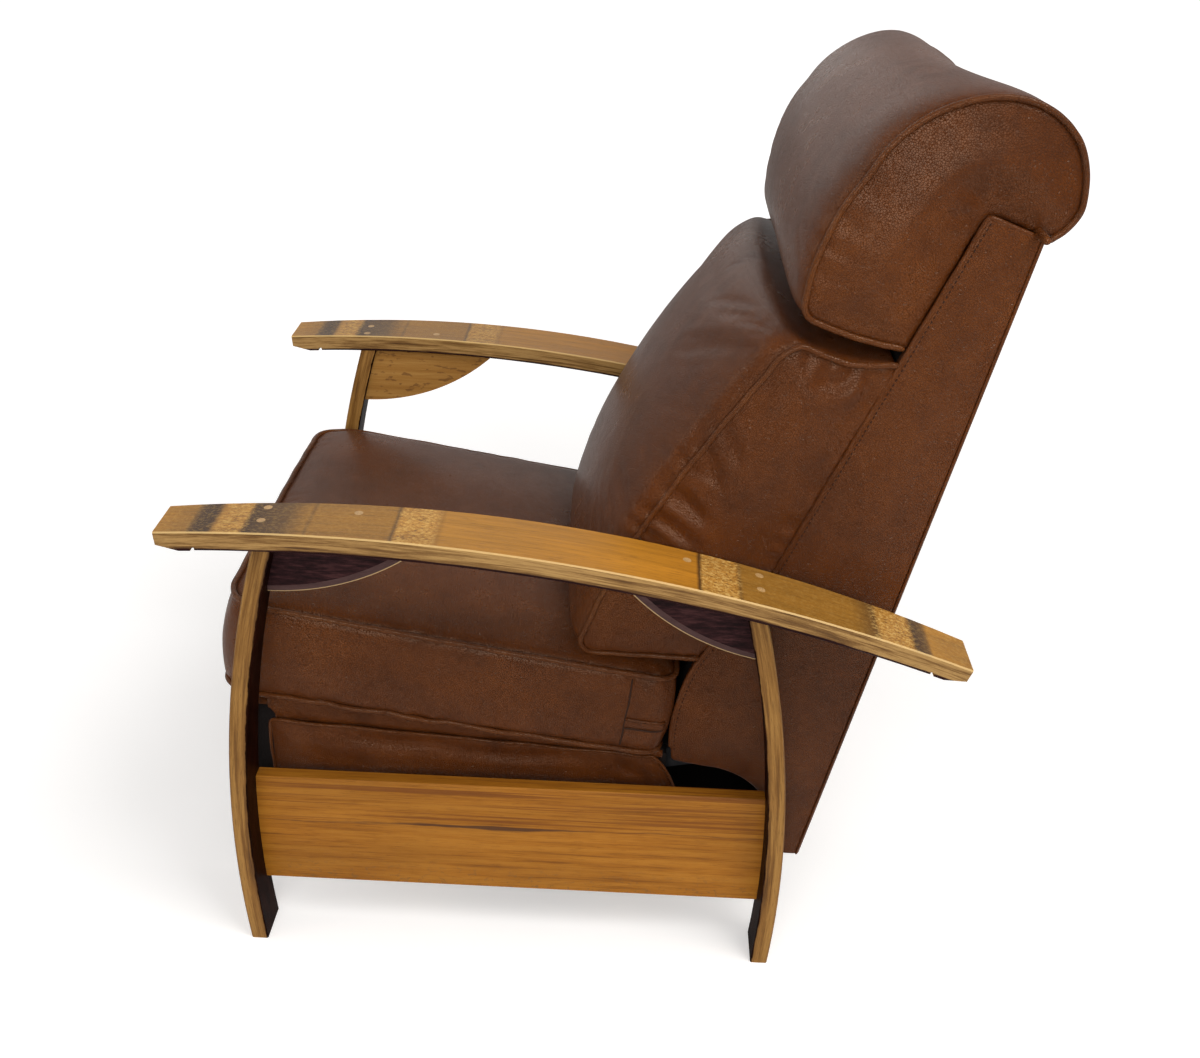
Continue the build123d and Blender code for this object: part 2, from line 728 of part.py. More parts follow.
seat_plate_face = polygon(
    (seat_plate_front_y, drive_pivot[1] + link_end_radius),
    (seat_plate_front_y, drive_pivot[1] - link_end_radius),
    (front_swing_high[0] - link_end_radius, front_swing_high[1] - link_end_radius),
    (rear_swing_high[0] + link_end_radius, rear_swing_high[1] - link_end_radius),
    (back_hinge[0], back_hinge[1] - back_hinge_ear),
    (back_hinge[0], back_hinge[1] + back_hinge_ear),
    (seat_board_rear_y, under_deck_z(seat_board_rear_y, deck_thickness)),
    (front_swing_high[0], under_deck_z(front_swing_high[0], seat_board_height / 2)))
seat_plate_face = seat_plate_face + disc(back_hinge, back_hinge_ear)
for place in (drive_pivot, front_swing_high, rear_swing_high, back_hinge):
    seat_plate_face = seat_plate_face - disc(place, hole_radius)
seat_plate = side_solid(seat_plate_face, seat_plate_x, plate_steel)
seat_pins = [rivet(place, link_x, seat_plate_x + plate_steel, True, False)
             for place in (drive_pivot, front_swing_high, rear_swing_high)]
seat_pins.append(cross_pin(back_hinge, pivot_radius, seat_plate_x,
                           seat_board_x + layer_gap + plate_steel - rivet_head_gap)
                 + cross_pin(back_hinge, rivet_head_radius,
                             seat_plate_x - rivet_head_height, seat_plate_x))

skirt_bend = (
    (skirt_rear_top_y + skirt_rear_bottom_y) / 2 + skirt_curve,
    (skirt_rear_top_z + skirt_bottom_z) / 2)
skirt_face = make_face([
    Line((seat_board_front_y, skirt_bottom_z), (seat_board_front_y, skirt_front_top_z)),
    Line((seat_board_front_y, skirt_front_top_z), (skirt_rear_top_y, skirt_rear_top_z)),
    ThreePointArc((skirt_rear_top_y, skirt_rear_top_z), skirt_bend,
                  (skirt_rear_bottom_y, skirt_bottom_z)),
    Line((skirt_rear_bottom_y, skirt_bottom_z), (seat_board_front_y, skirt_bottom_z))])
seat_skirt = side_solid(skirt_face, seat_board_outer_x, skirt_thickness)


# Zigzag springs

spring_front_y = seat_front_rail_y + seat_rail_thickness / 2 + spring_end_gap
spring_rear_y = seat_rear_rail_y - seat_rail_thickness / 2 + fit_gap - spring_end_gap
spring_length = (spring_rear_y - spring_front_y) / math.cos(math.radians(seat_tilt))
spring_turns = 2 * math.floor((spring_length - 4 * spring_turn) / (4 * spring_turn)) + 1
spring_lead = (spring_length - 2 * spring_turn * spring_turns) / 2 - spring_turn
spring_start = Pos(0, spring_front_y, under_deck_z(spring_front_y, spring_drop)) * Rot(-seat_tilt, 0, 0)


def spring_path():
    """A flat zigzag wire along Y: a lead, a quarter turn, runs with half turns, and the same out."""
    edge = spring_run / 2
    y = spring_lead
    pieces = [Line((0, 0), (0, y)), CenterArc((spring_turn, y), spring_turn, 180, -90)]
    y = y + spring_turn
    pieces.append(Line((spring_turn, y), (edge, y)))
    side = 1
    for turn in range(spring_turns):
        start = (side * edge, y)
        outer = (side * (edge + spring_turn), y + spring_turn)
        y = y + 2 * spring_turn
        pieces.append(ThreePointArc(start, outer, (side * edge, y)))
        if turn < spring_turns - 1:
            pieces.append(Line((side * edge, y), (-side * edge, y)))
            side = -side
    pieces.append(Line((side * edge, y), (spring_turn, y)))
    pieces.append(CenterArc((spring_turn, y + spring_turn), spring_turn, -90, -90))
    pieces.append(Line((0, y + spring_turn), (0, y + spring_turn + spring_lead)))
    return pieces


def least_spring_gap():
    """Least space between two stretches of a spring that are not next to each other."""
    path = Wire(spring_path())
    count = 40 * spring_turns
    points = [path @ (i / count) for i in range(count + 1)]
    apart = math.ceil(2 * spring_turn * count / path.length)
    nearest = min((points[i] - points[j]).length
                  for i in range(count + 1) for j in range(i + apart, count + 1))
    return nearest - 2 * spring_wire


def zigzag_spring(x):
    path = Wire(spring_path())
    wire = sweep(Plane(origin=path @ 0, z_dir=path % 0) * Circle(spring_wire), path=path)
    return Pos(x, 0, 0) * spring_start * wire


# Back frame

back_panel_x = back_half_width - back_panel_thickness
cover_offset = toward((0.0, 0.0), (panel["top_rear"][1] - panel["foot_rear"][1],
                                   panel["foot_rear"][0] - panel["top_rear"][0]), cover_thickness)
panel_face = make_face([
    Line(panel["top_front"], panel["seam_mid"]),
    Line(panel["seam_mid"], panel["seam_low"]),
    ThreePointArc(panel["seam_low"], panel["toe_bulge"], panel["toe_front"]),
    Line(panel["toe_front"], panel["toe_bottom"]),
    Line(panel["toe_bottom"], panel["belly_front"]),
    ThreePointArc(panel["belly_front"], panel["belly_rear"], panel["belly_bend"]),
    Line(panel["belly_bend"], panel["foot_front"]),
    Line(panel["foot_front"], panel["foot_rear"]),
    Line(panel["foot_rear"], panel["top_rear"]),
    Line(panel["top_rear"], panel["top_front"])])
back_panel = side_solid(panel_face, back_panel_x, back_panel_thickness)
cover_face = polygon(
    panel["foot_rear"], panel["top_rear"],
    (panel["top_rear"][0] + cover_offset[0], panel["top_rear"][1] + cover_offset[1]),
    (panel["foot_rear"][0] + cover_offset[0], panel["foot_rear"][1] + cover_offset[1]))
back_cover = side_solid(cover_face, -back_half_width, 2 * back_half_width)


def rail_between_panels(start, heading, width, thickness):
    """A cross rail whose side outline starts at a point, runs along heading and thickens below."""
    end = along(start, heading, width)
    face = polygon(start, end, along(end, heading - 90, thickness), along(start, heading - 90, thickness))
    return side_solid(face, -back_panel_x, 2 * back_panel_x)


top_heading = math.degrees(math.atan2(panel["top_rear"][1] - panel["top_front"][1],
                                      panel["top_rear"][0] - panel["top_front"][0]))
seam_heading = math.degrees(math.atan2(panel["top_front"][1] - panel["seam_mid"][1],
                                       panel["top_front"][0] - panel["seam_mid"][0]))
top_rail_width = math.dist(panel["top_front"], panel["top_rear"]) - top_rail_setback
back_top_rail = rail_between_panels(
    toward(panel["top_front"], panel["top_rear"], fit_gap), top_heading, top_rail_width,
    back_rail_thickness)
back_cushion_foot_z = cushion_rear_bottom_z + cushion_rear_thickness + back_cushion_lift
headrest_foot_z = panel["top_front"][1] - headrest_reach_share * headrest_height
back_cushion_height = headrest_foot_z - back_cushion_foot_z
headrest_notch = (seam_y(headrest_foot_z), headrest_foot_z)
mid_rail_start = along(headrest_notch, seam_heading - 90, fit_gap)
back_mid_rail = rail_between_panels(
    mid_rail_start, seam_heading - 90, mid_rail_width, back_rail_thickness)
back_bottom_rail = side_solid(
    window(panel["foot_front"][0], panel["foot_rear"][0], back_foot_z,
           back_foot_z + bottom_rail_height), -back_panel_x, 2 * back_panel_x)


def strap(share):
    """A flat strap across the back, set behind the cushion, at a share of the seam's height."""
    seam = math.dist(panel["seam_mid"], headrest_notch)
    middle = toward(panel["seam_mid"], headrest_notch, share * seam)
    low = along(middle, seam_heading - 180, strap_width / 2)
    low = along(low, seam_heading - 90, strap_setback)
    high = along(low, seam_heading, strap_width)
    face = polygon(low, high, along(high, seam_heading - 90, strap_thickness),
                   along(low, seam_heading - 90, strap_thickness))
    return side_solid(face, -back_panel_x, 2 * back_panel_x)


back_straps = [strap(share) for share in strap_shares]

back_bracket_x = seat_board_x + layer_gap
back_bracket_length = math.dist(back_hinge, panel["bracket_top"])
back_bolt_places = [toward(back_hinge, panel["bracket_top"], share * back_bracket_length)
                    for share in bolt_shares]
back_bracket_face = link_face(back_hinge, panel["bracket_top"], back_hinge_ear)
back_bracket_face = back_bracket_face - disc(back_hinge, hole_radius)
for place in back_bolt_places:
    back_bracket_face = back_bracket_face - disc(place, bolt_radius + bore_clearance)
back_bracket = side_solid(back_bracket_face, back_bracket_x, plate_steel)
back_bolts = [
    cross_pin(place, bolt_head_radius, back_bracket_x - bolt_head_height, back_bracket_x)
    + cross_pin(place, bolt_radius, back_bracket_x, back_bracket_x + bolt_length)
    for place in back_bolt_places]
for place in back_bolt_places:
    back_panel = back_panel - cross_pin(place, bolt_radius + bore_clearance, back_panel_x,
                                        back_bracket_x + bolt_length + bore_clearance)


# Cushions

def rounded_outline(half_width, y_front, y_rear, front_corner, rear_corner, bow, z, rise=0.0):
    """A plan outline at height z, which changes by rise per millimetre of y.

    It has four bowed sides and four round corners.
    """
    middle_y = (y_front + y_rear) / 2
    k = 1 - math.sqrt(0.5)
    right = [
        (half_width - front_corner, y_front),
        (half_width - k * front_corner, y_front + k * front_corner),
        (half_width, y_front + front_corner),
        (half_width + bow, middle_y),
        (half_width, y_rear - rear_corner),
        (half_width - k * rear_corner, y_rear - k * rear_corner),
        (half_width - rear_corner, y_rear)]
    left = [(-x, y) for x, y in reversed(right)]
    around = right + [(0, y_rear + bow / 2)] + left + [(0, y_front - bow), right[0]]
    places = [(x, y, z + rise * y) for x, y in around]
    return Wire([ThreePointArc(*places[i:i + 3]) for i in range(0, len(places) - 1, 2)])


seat_length = (cushion_rear_y - cushion_front_y) / math.cos(math.radians(seat_tilt))
boxing_shares = ((0.0, 1.0), (0.3, 0.0), (0.72, 0.0), (1.0, 1.0))
crown_shares = ((0.0, 0.0), (0.42, 0.09), (0.78, 0.28), (0.95, 0.5), (1.0, 0.66))


def seat_cushion_solid():
    """Boxing that is drawn in at both welts, and a crown that rises from the top welt."""
    taper = (cushion_rear_thickness - cushion_front_thickness) / seat_length
    boxing = []
    for height_share, draw_share in boxing_shares:
        inset = cushion_draw_in * draw_share
        boxing.append(rounded_outline(
            cushion_half_width - inset, inset, seat_length - inset, cushion_front_corner,
            cushion_rear_corner, cushion_bow, cushion_front_thickness * height_share,
            taper * height_share))
    crown = []
    for rise_share, inset_share in crown_shares:
        inset = cushion_draw_in + inset_share * (cushion_half_width - cushion_front_corner)
        crown.append(rounded_outline(
            cushion_half_width - inset, inset, seat_length - inset,
            cushion_front_corner * (1 + inset_share), cushion_rear_corner * (1 + inset_share),
            cushion_bow, cushion_front_thickness + cushion_crown * rise_share, taper))
    solid = Solid.make_loft(boxing) + Solid.make_loft(crown)
    return Pos(0, cushion_front_y, cushion_bottom_z(cushion_front_y)) * Rot(-seat_tilt, 0, 0) * solid


def outline_at(end_shares, swell_shares, size, amount):
    """The points of a side outline, swollen by an amount from 0 at the ends to 1 in the middle.

    Size is the outline's lowest z, height, depth ahead of the seam, full swell and full rise.
    """
    foot_z, height, depth, swell, rise = size
    points = {}
    for name, (ahead_share, height_share) in end_shares.items():
        swell_share, rise_share = swell_shares[name]
        z = foot_z + height_share * height
        y = seam_y(z) - cushion_clearance - ahead_share * depth
        points[name] = (y - amount * swell_share * swell, z + amount * rise_share * rise)
    return points


def profile_wire(points, order, x):
    """A closed side outline at x; a name ending in bend is the middle of an arc."""
    at = lambda name: (x, points[name][0], points[name][1])
    pieces = []
    for start, bend, end in order:
        if bend is None:
            pieces.append(Line(at(start), at(end)))
        else:
            pieces.append(ThreePointArc(at(start), at(bend), at(end)))
    return Wire(pieces)


back_cushion_order = (
    ("rear_low", None, "front_low"), ("front_low", "nose_bend", "nose"),
    ("nose", "belly_bend", "belly"), ("belly", "chest_bend", "chest"),
    ("chest", "top_bend", "top"), ("top", "dip", "rear_top"),
    ("rear_top", None, "rear_mid"), ("rear_mid", None, "rear_low"))
headrest_order = (
    ("rear_low", "chin_bend", "chin"), ("chin", "nose_bend", "nose"),
    ("nose", "brow_bend", "brow"), ("brow", "crown_bend", "crown"),
    ("crown", "rear_bend", "rear"), ("rear", "heel_bend", "heel"),
    ("heel", None, "corner"), ("corner", None, "rear_low"))


def pillow(outlines, order, half_width):
    """A loft across the chair: welted ends, and a middle that swells out of them."""
    places = [-place for place, amount in station_shares]
    places += [place for place, amount in reversed(station_shares[:-1])]
    wires = [profile_wire(points, order, place * half_width)
             for place, points in zip(places, outlines + outlines[-2::-1])]
    return Solid.make_loft(wires)


back_cushion_size = (back_cushion_foot_z, back_cushion_height, back_cushion_depth,
                     back_cushion_swell, back_cushion_rise)
back_cushion_outlines = [
    outline_at(back_cushion_end_shares, back_cushion_swell_shares, back_cushion_size, amount)
    for place, amount in station_shares]
headrest_size = (headrest_foot_z, headrest_height, headrest_depth, headrest_swell, headrest_rise)
headrest_outlines = [
    outline_at(headrest_end_shares, headrest_swell_shares, headrest_size, amount)
    for place, amount in station_shares]
headrest_heel = along(
    along(panel["top_front"], top_heading, headrest_heel_share * headrest_depth),
    top_heading + 90, headrest_heel_lift)
for points in headrest_outlines:
    points["corner"] = (panel["top_front"][0] - fit_gap, panel["top_front"][1] + fit_gap)
    points["heel"] = headrest_heel


pad_side_shares = ((0.0, 0.2), (0.35, 0.0), (1.0, 0.1))
pad_crown_shares = ((0.6, 0.9), (1.0, 2.4))


def footrest_pad_solid():
    rear = footrest_board_rear_y - footrest_board_thickness
    middle_z = (footrest_pad_bottom_z + footrest_pad_top_z) / 2
    half_height = (footrest_pad_top_z - footrest_pad_bottom_z) / 2
    wires = []
    for depth_share, inset_share in pad_side_shares:
        wires.append((footrest_pad_thickness * depth_share, footrest_pad_corner * inset_share))
    for rise_share, inset_share in pad_crown_shares:
        wires.append((footrest_pad_thickness + footrest_pad_crown * rise_share,
                      footrest_pad_corner * inset_share))
    outlines = [
        rounded_outline(footrest_pad_half_width - inset, inset - half_height, half_height - inset,
                        footrest_pad_corner, footrest_pad_corner, footrest_pad_bow, depth)
        for depth, inset in wires]
    return Pos(0, rear, middle_z) * Rot(90, 0, 0) * Solid.make_loft(outlines)


# All pieces by name

keep_pair("arm", arm)
keep_pair("leg_front", front_leg)
keep_pair("leg_rear", rear_leg)
keep_pair("side_rail", rail)
keep_pair("corbel_front", front_corbel)
keep_pair("corbel_rear", rear_corbel)
keep_group("arm_plugs", with_mirror_images(plugs))
keep_group("arm_screws", with_mirror_images(arm_screws))
keep("stretcher_front", front_stretcher)
keep("stretcher_rear", rear_stretcher)
keep_group("corner_brackets", with_mirror_images(brackets))
keep_group("frame_screws", with_mirror_images(frame_screws))
keep_pair("base_rail", base_rail)
keep_group("base_pins", with_mirror_images(base_pins))
keep_pair("swing_front", front_swing)
keep("swing_tube", swing_tube)
keep_pair("swing_rear", rear_swing)
keep_pair("seat_plate", seat_plate)
keep_group("seat_pins", with_mirror_images(seat_pins))
keep_pair("seat_board", seat_board)
keep("seat_rail_front", seat_front_rail)
keep("seat_rail_rear", seat_rear_rail)
keep("seat_deck", seat_deck)
keep_pair("seat_skirt", seat_skirt)
keep_pair("drive_link", drive_link)
keep("drive_tube", drive_tube)
keep_pair("reach_link", reach_link)
keep_pair("footrest_bracket", footrest_bracket)
keep("footrest_board", footrest_board)
keep_pair("back_panel", back_panel)
keep("back_cover", back_cover)
keep("back_rail_top", back_top_rail)
keep("back_rail_middle", back_mid_rail)
keep("back_rail_bottom", back_bottom_rail)
keep_group("back_straps", back_straps)
keep_pair("back_bracket", back_bracket)
keep_group("back_bolts", with_mirror_images(back_bolts))

spring_places = [(i - (spring_count - 1) / 2) * spring_spread for i in range(spring_count)]
keep_group("seat_springs", [zigzag_spring(x) for x in spring_places])
keep("seat_cushion", seat_cushion_solid())
keep("back_cushion", pillow(back_cushion_outlines, back_cushion_order, back_half_width))
keep("headrest", pillow(headrest_outlines, headrest_order, headrest_half_width))
keep("footrest_pad", footrest_pad_solid())

# The origin is the middle of the chair's width and depth, on the floor

boxes = [solid.bounding_box() for solid in nodes.values()]
front_y = min(box.min.Y for box in boxes)
rear_y = max(box.max.Y for box in boxes)
frame_origin_y = (front_y + rear_y) / 2
for name, solid in nodes.items():
    export_step(Pos(0, -frame_origin_y, 0) * solid, f"parts/{name}.step")

print("nodes", len(nodes))
print("least gap between the turns of a seat spring", round(least_spring_gap(), 2))
print("depth", round(rear_y - front_y, 2), "origin at y", round(frame_origin_y, 4))
print("height", round(max(box.max.Z for box in boxes), 2))
for name, place in (("front_swing_low", front_swing_low), ("front_swing_high", front_swing_high),
                    ("rear_swing_low", rear_swing_low), ("rear_swing_high", rear_swing_high),
                    ("drive_pivot", drive_pivot), ("knee", knee),
                    ("footrest_pivot", footrest_pivot), ("back_hinge", back_hinge)):
    print(name, round(place[0] - frame_origin_y, 4), round(place[1], 4))
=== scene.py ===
# %% [markdown]
# # A reclining armchair made of oak barrel staves
#
# The chair has arms and legs of whole barrel staves, boards of a barrel head as side rails,
# and a brown leather seat, back cushion and headrest on a push-back mechanism. The joinery
# comes ready from the CAD model. Here we give the wood and steel their surfaces, and sew and
# stuff the leather pieces in mesh code, each in the space that its CAD solid holds.

# %% Load the frame
import math
import bmesh
import bpy
import numpy as np
from mathutils import Matrix, Vector, bvhtree, kdtree


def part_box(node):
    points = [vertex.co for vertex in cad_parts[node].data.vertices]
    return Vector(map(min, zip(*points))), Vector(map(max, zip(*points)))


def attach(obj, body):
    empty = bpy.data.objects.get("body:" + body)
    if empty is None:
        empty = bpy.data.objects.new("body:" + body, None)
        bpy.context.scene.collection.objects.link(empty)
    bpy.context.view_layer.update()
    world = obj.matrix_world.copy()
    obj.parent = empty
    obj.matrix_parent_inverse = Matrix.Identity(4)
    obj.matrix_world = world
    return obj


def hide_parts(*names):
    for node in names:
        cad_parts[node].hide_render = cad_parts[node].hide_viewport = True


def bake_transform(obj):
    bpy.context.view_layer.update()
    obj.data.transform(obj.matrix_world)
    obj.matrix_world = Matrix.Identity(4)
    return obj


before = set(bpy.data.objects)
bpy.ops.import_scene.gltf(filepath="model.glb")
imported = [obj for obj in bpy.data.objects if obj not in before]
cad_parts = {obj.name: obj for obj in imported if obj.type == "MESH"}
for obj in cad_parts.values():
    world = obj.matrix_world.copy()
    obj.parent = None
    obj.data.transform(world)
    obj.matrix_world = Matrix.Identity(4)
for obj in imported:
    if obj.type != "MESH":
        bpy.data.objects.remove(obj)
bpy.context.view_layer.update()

# %% [markdown]
# ## The camera
#
# The picture was taken from the sitter's left side, from a little above head height, with the
# phone tipped by under two degrees. The place, the three angles and the focal length were
# found by fitting the arms, the legs and the side rail. A camera looks along its own minus Z,
# so its matrix has the right, up and backward directions as columns.

# %% Camera at the picture's place
camera_place = Vector((1.6574, 0.0410, 1.3507))
heading, pitch, roll = 1.597256, 0.490340, 0.030504
forward = Vector((-math.sin(heading) * math.cos(pitch), math.cos(heading) * math.cos(pitch),
                  -math.sin(pitch)))
level = Vector((math.cos(heading), math.sin(heading), 0.0))
upright = level.cross(forward)
right = math.cos(roll) * level + math.sin(roll) * upright
up = math.cos(roll) * upright - math.sin(roll) * level

camera = bpy.data.objects.new("camera", bpy.data.cameras.new("camera"))
bpy.context.scene.collection.objects.link(camera)
camera.matrix_world = Matrix.Translation(camera_place) @ Matrix(
    [(right[i], up[i], -forward[i]) for i in range(3)]).to_4x4()
camera.data.sensor_width = 36.0
camera.data.lens = 40.185
camera.data.clip_start = 0.05
bpy.context.scene.camera = camera
print("camera height in metres:", round(camera_place.z, 2))

# %% [markdown]
# ## Finishes as node trees
#
# Every finish here is computed from the place on the object, so that grain runs through a
# board as it does in real wood and nothing depends on an unwrapped image. Small helpers keep
# the node trees readable. One gives a node's sockets their values, one adds a node, and the
# rest blend, stretch and compare the values that run from node to node. A value knows the
# tree that it belongs to, so only the first nodes of a finish have to be told their tree.

# %% Node helpers
def wire(node, sockets):
    """Give sockets of a node a number, a colour or another node's output."""
    for key, value in sockets.items():
        if isinstance(value, bpy.types.NodeSocket):
            node.id_data.links.new(value, node.inputs[key])
        else:
            node.inputs[key].default_value = value


def add(tree, kind, sockets=None, **options):
    """Add a shader node with its options and the values of its sockets."""
    node = tree.nodes.new("ShaderNode" + kind)
    for key, value in options.items():
        setattr(node, key, value)
    wire(node, sockets or {})
    return node


def new_finish(name, **shader_values):
    """A material with its shader: returns the material, its node tree and the shader."""
    finish = bpy.data.materials.new(name)
    finish.use_nodes = True
    shader = finish.node_tree.nodes["Principled BSDF"]
    wire(shader, {key.replace("_", " "): value for key, value in shader_values.items()})
    return finish, finish.node_tree, shader


def spot_place(tree):
    """The point's X, Y and Z on the chair, in metres."""
    place = add(tree, "TexCoord").outputs["Object"]
    return add(tree, "SeparateXYZ", {"Vector": place}).outputs


def facing(tree):
    """How far the surface faces along X, Y and Z, each from -1 to 1."""
    normal = add(tree, "NewGeometry").outputs["True Normal"]
    return add(tree, "SeparateXYZ", {"Vector": normal}).outputs


def place_on_object(tree, scale=(1.0, 1.0, 1.0), place=None):
    """The point's place on the chair in metres, stretched by a scale along each axis."""
    place = place or add(tree, "TexCoord").outputs["Object"]
    return add(tree, "Mapping", {"Vector": place, "Scale": scale}).outputs["Vector"]


def noise(tree, size, scale=(1.0, 1.0, 1.0), detail=5.0, roughness=0.6, distortion=0.0, place=None):
    """A cloudy factor. It has about so many spots in a metre as its size, times the scale."""
    sockets = {"Vector": place_on_object(tree, scale, place), "Scale": size, "Detail": detail,
               "Roughness": roughness, "Distortion": distortion}
    return add(tree, "TexNoise", sockets).outputs["Fac"]


def maths(kind, first, second=0.0):
    return add(first.id_data, "Math", {0: first, 1: second}, operation=kind).outputs[0]


def times(first, second):
    return maths("MULTIPLY", first, second)


def plus(first, second):
    return maths("ADD", first, second)


def level_of(factor, low, high, low_to=0.0, high_to=1.0):
    """Stretch part of a factor's range to a new range, and cut off the rest."""
    sockets = {"Value": factor, "From Min": low, "From Max": high,
               "To Min": low_to, "To Max": high_to}
    return add(factor.id_data, "MapRange", sockets).outputs["Result"]


def ramp(factor, stops):
    """A colour for each value of a factor: stops are (position, colour or grey level)."""
    node = add(factor.id_data, "ValToRGB", {"Fac": factor})
    elements = node.color_ramp.elements
    while len(elements) < len(stops):
        elements.new(0.5)
    for element, (position, colour) in zip(elements, stops):
        element.position = position
        if isinstance(colour, (int, float)):
            colour = (colour, colour, colour)
        element.color = (*colour, 1.0)
    return node.outputs["Color"]


def mix(factor, first, second, mode="MIX"):
    """Blend two colours by a factor that changes over the surface.

    The Mix node has its factor on socket 0 and its two colours on sockets 6 and 7.
    """
    first, second = [(*c, 1.0) if isinstance(c, tuple) else c for c in (first, second)]
    tree = next(v.id_data for v in (factor, first, second) if isinstance(v, bpy.types.NodeSocket))
    node = add(tree, "Mix", {0: factor, 6: first, 7: second}, data_type="RGBA", blend_type=mode)
    return node.outputs[2]


def relief(shader, *layers):
    """Chain bumps: each layer is (height, distance in metres, strength)."""
    normal = {}
    for height, distance, strength in layers:
        sockets = {"Height": height, "Distance": distance, "Strength": strength, **normal}
        normal = {"Normal": add(shader.id_data, "Bump", sockets).outputs["Normal"]}
    wire(shader, normal)


amber = (1.0, 0.86, 0.68, 1.0)

# %% [markdown]
# ## Oak
#
# Oak shows long pores along the grain. A noise that is stretched along Y gives the streaks,
# and a finer, harder one gives the pores. A stave was bent over a fire, so its grain follows
# the bend. For arms and legs the noise is therefore read at a bent place, where one part is
# the run along the stave and another is the distance from the centre of its curve. Rails,
# corbels and the pine boards inside are flat, and use the plain place.

# %% Oak for boards
def bent_grain(tree, centre_y, centre_z, upright):
    """A place whose third part is the distance from a stave's centre, and that distance."""
    place = spot_place(tree)
    across = maths("POWER", maths("SUBTRACT", place["Y"], centre_y), 2.0)
    up = maths("POWER", maths("SUBTRACT", place["Z"], centre_z), 2.0)
    radius = maths("SQRT", plus(across, up))
    sockets = {"X": place["X"], "Y": place["Z" if upright else "Y"], "Z": radius}
    return add(tree, "CombineXYZ", sockets).outputs["Vector"], radius


def oak_grain(tree, place=None):
    """Streaks, pores and slow changes of tone along Y: three factors from 0 to 1."""
    bands = noise(tree, 120.0, (1.0, 0.03, 1.0), detail=3.0, roughness=0.55, place=place)
    hairs = noise(tree, 380.0, (1.0, 0.03, 1.0), detail=5.0, roughness=0.75, place=place)
    streaks = mix(0.5, bands, hairs)
    pores = noise(tree, 620.0, (1.0, 0.06, 1.0), detail=3.0, roughness=0.7, place=place)
    slow = noise(tree, 11.0, (1.0, 0.25, 1.0), detail=4.0, place=place)
    return streaks, pores, slow


def oak_board(name, dark, middle, light, roughness, stave_centre=None):
    """Oiled oak. Colours are those of the pores, the wood and its bright streaks.

    An upright stave gives the centre of its curve, as (y, z), and its grain bends round it.
    """
    finish, tree, shader = new_finish(name, Specular_IOR_Level=0.22, Specular_Tint=amber)
    place = bent_grain(tree, *stave_centre, upright=True)[0] if stave_centre else None
    streaks, pores, slow = oak_grain(tree, place)
    wood = ramp(streaks, [(0.34, dark), (0.46, middle), (0.58, light), (0.72, middle)])
    tone = ramp(slow, [(0.3, 0.82), (0.7, 1.12)])
    wood = mix(1.0, wood, tone, "MULTIPLY")
    wood = mix(level_of(pores, 0.55, 0.66, 0.0, 0.45), wood, dark)
    gloss = level_of(slow, 0.2, 0.8, roughness - 0.06, roughness + 0.1)
    wire(shader, {"Base Color": wood, "Roughness": gloss})
    relief(shader, (pores, 0.0005, 0.5), (streaks, 0.0008, 0.35))
    return finish, tree, shader, wood


def put_on(finish, *names):
    """Give CAD nodes a finish, in every material slot that they have."""
    for name in names:
        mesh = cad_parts[name].data
        for index in range(max(1, len(mesh.materials))):
            if index < len(mesh.materials):
                mesh.materials[index] = finish
            else:
                mesh.materials.append(finish)


def both_sides(*stems):
    """The names of nodes that the chair has on its left and its right side."""
    return [stem + side for stem in stems for side in ("_left", "_right")]


# %% [markdown]
# ### The arms
#
# An arm keeps what its years in a barrel left on it: dark bands where iron hoops sat, pale
# scuffed bands where they were knocked off, wine-red wood underneath, and streaky sawn edges.
# The bands lie across the stave, so the finish looks up the place along Y in one long colour
# ramp. A little noise is added to that place first, or the bands would have ruled edges.

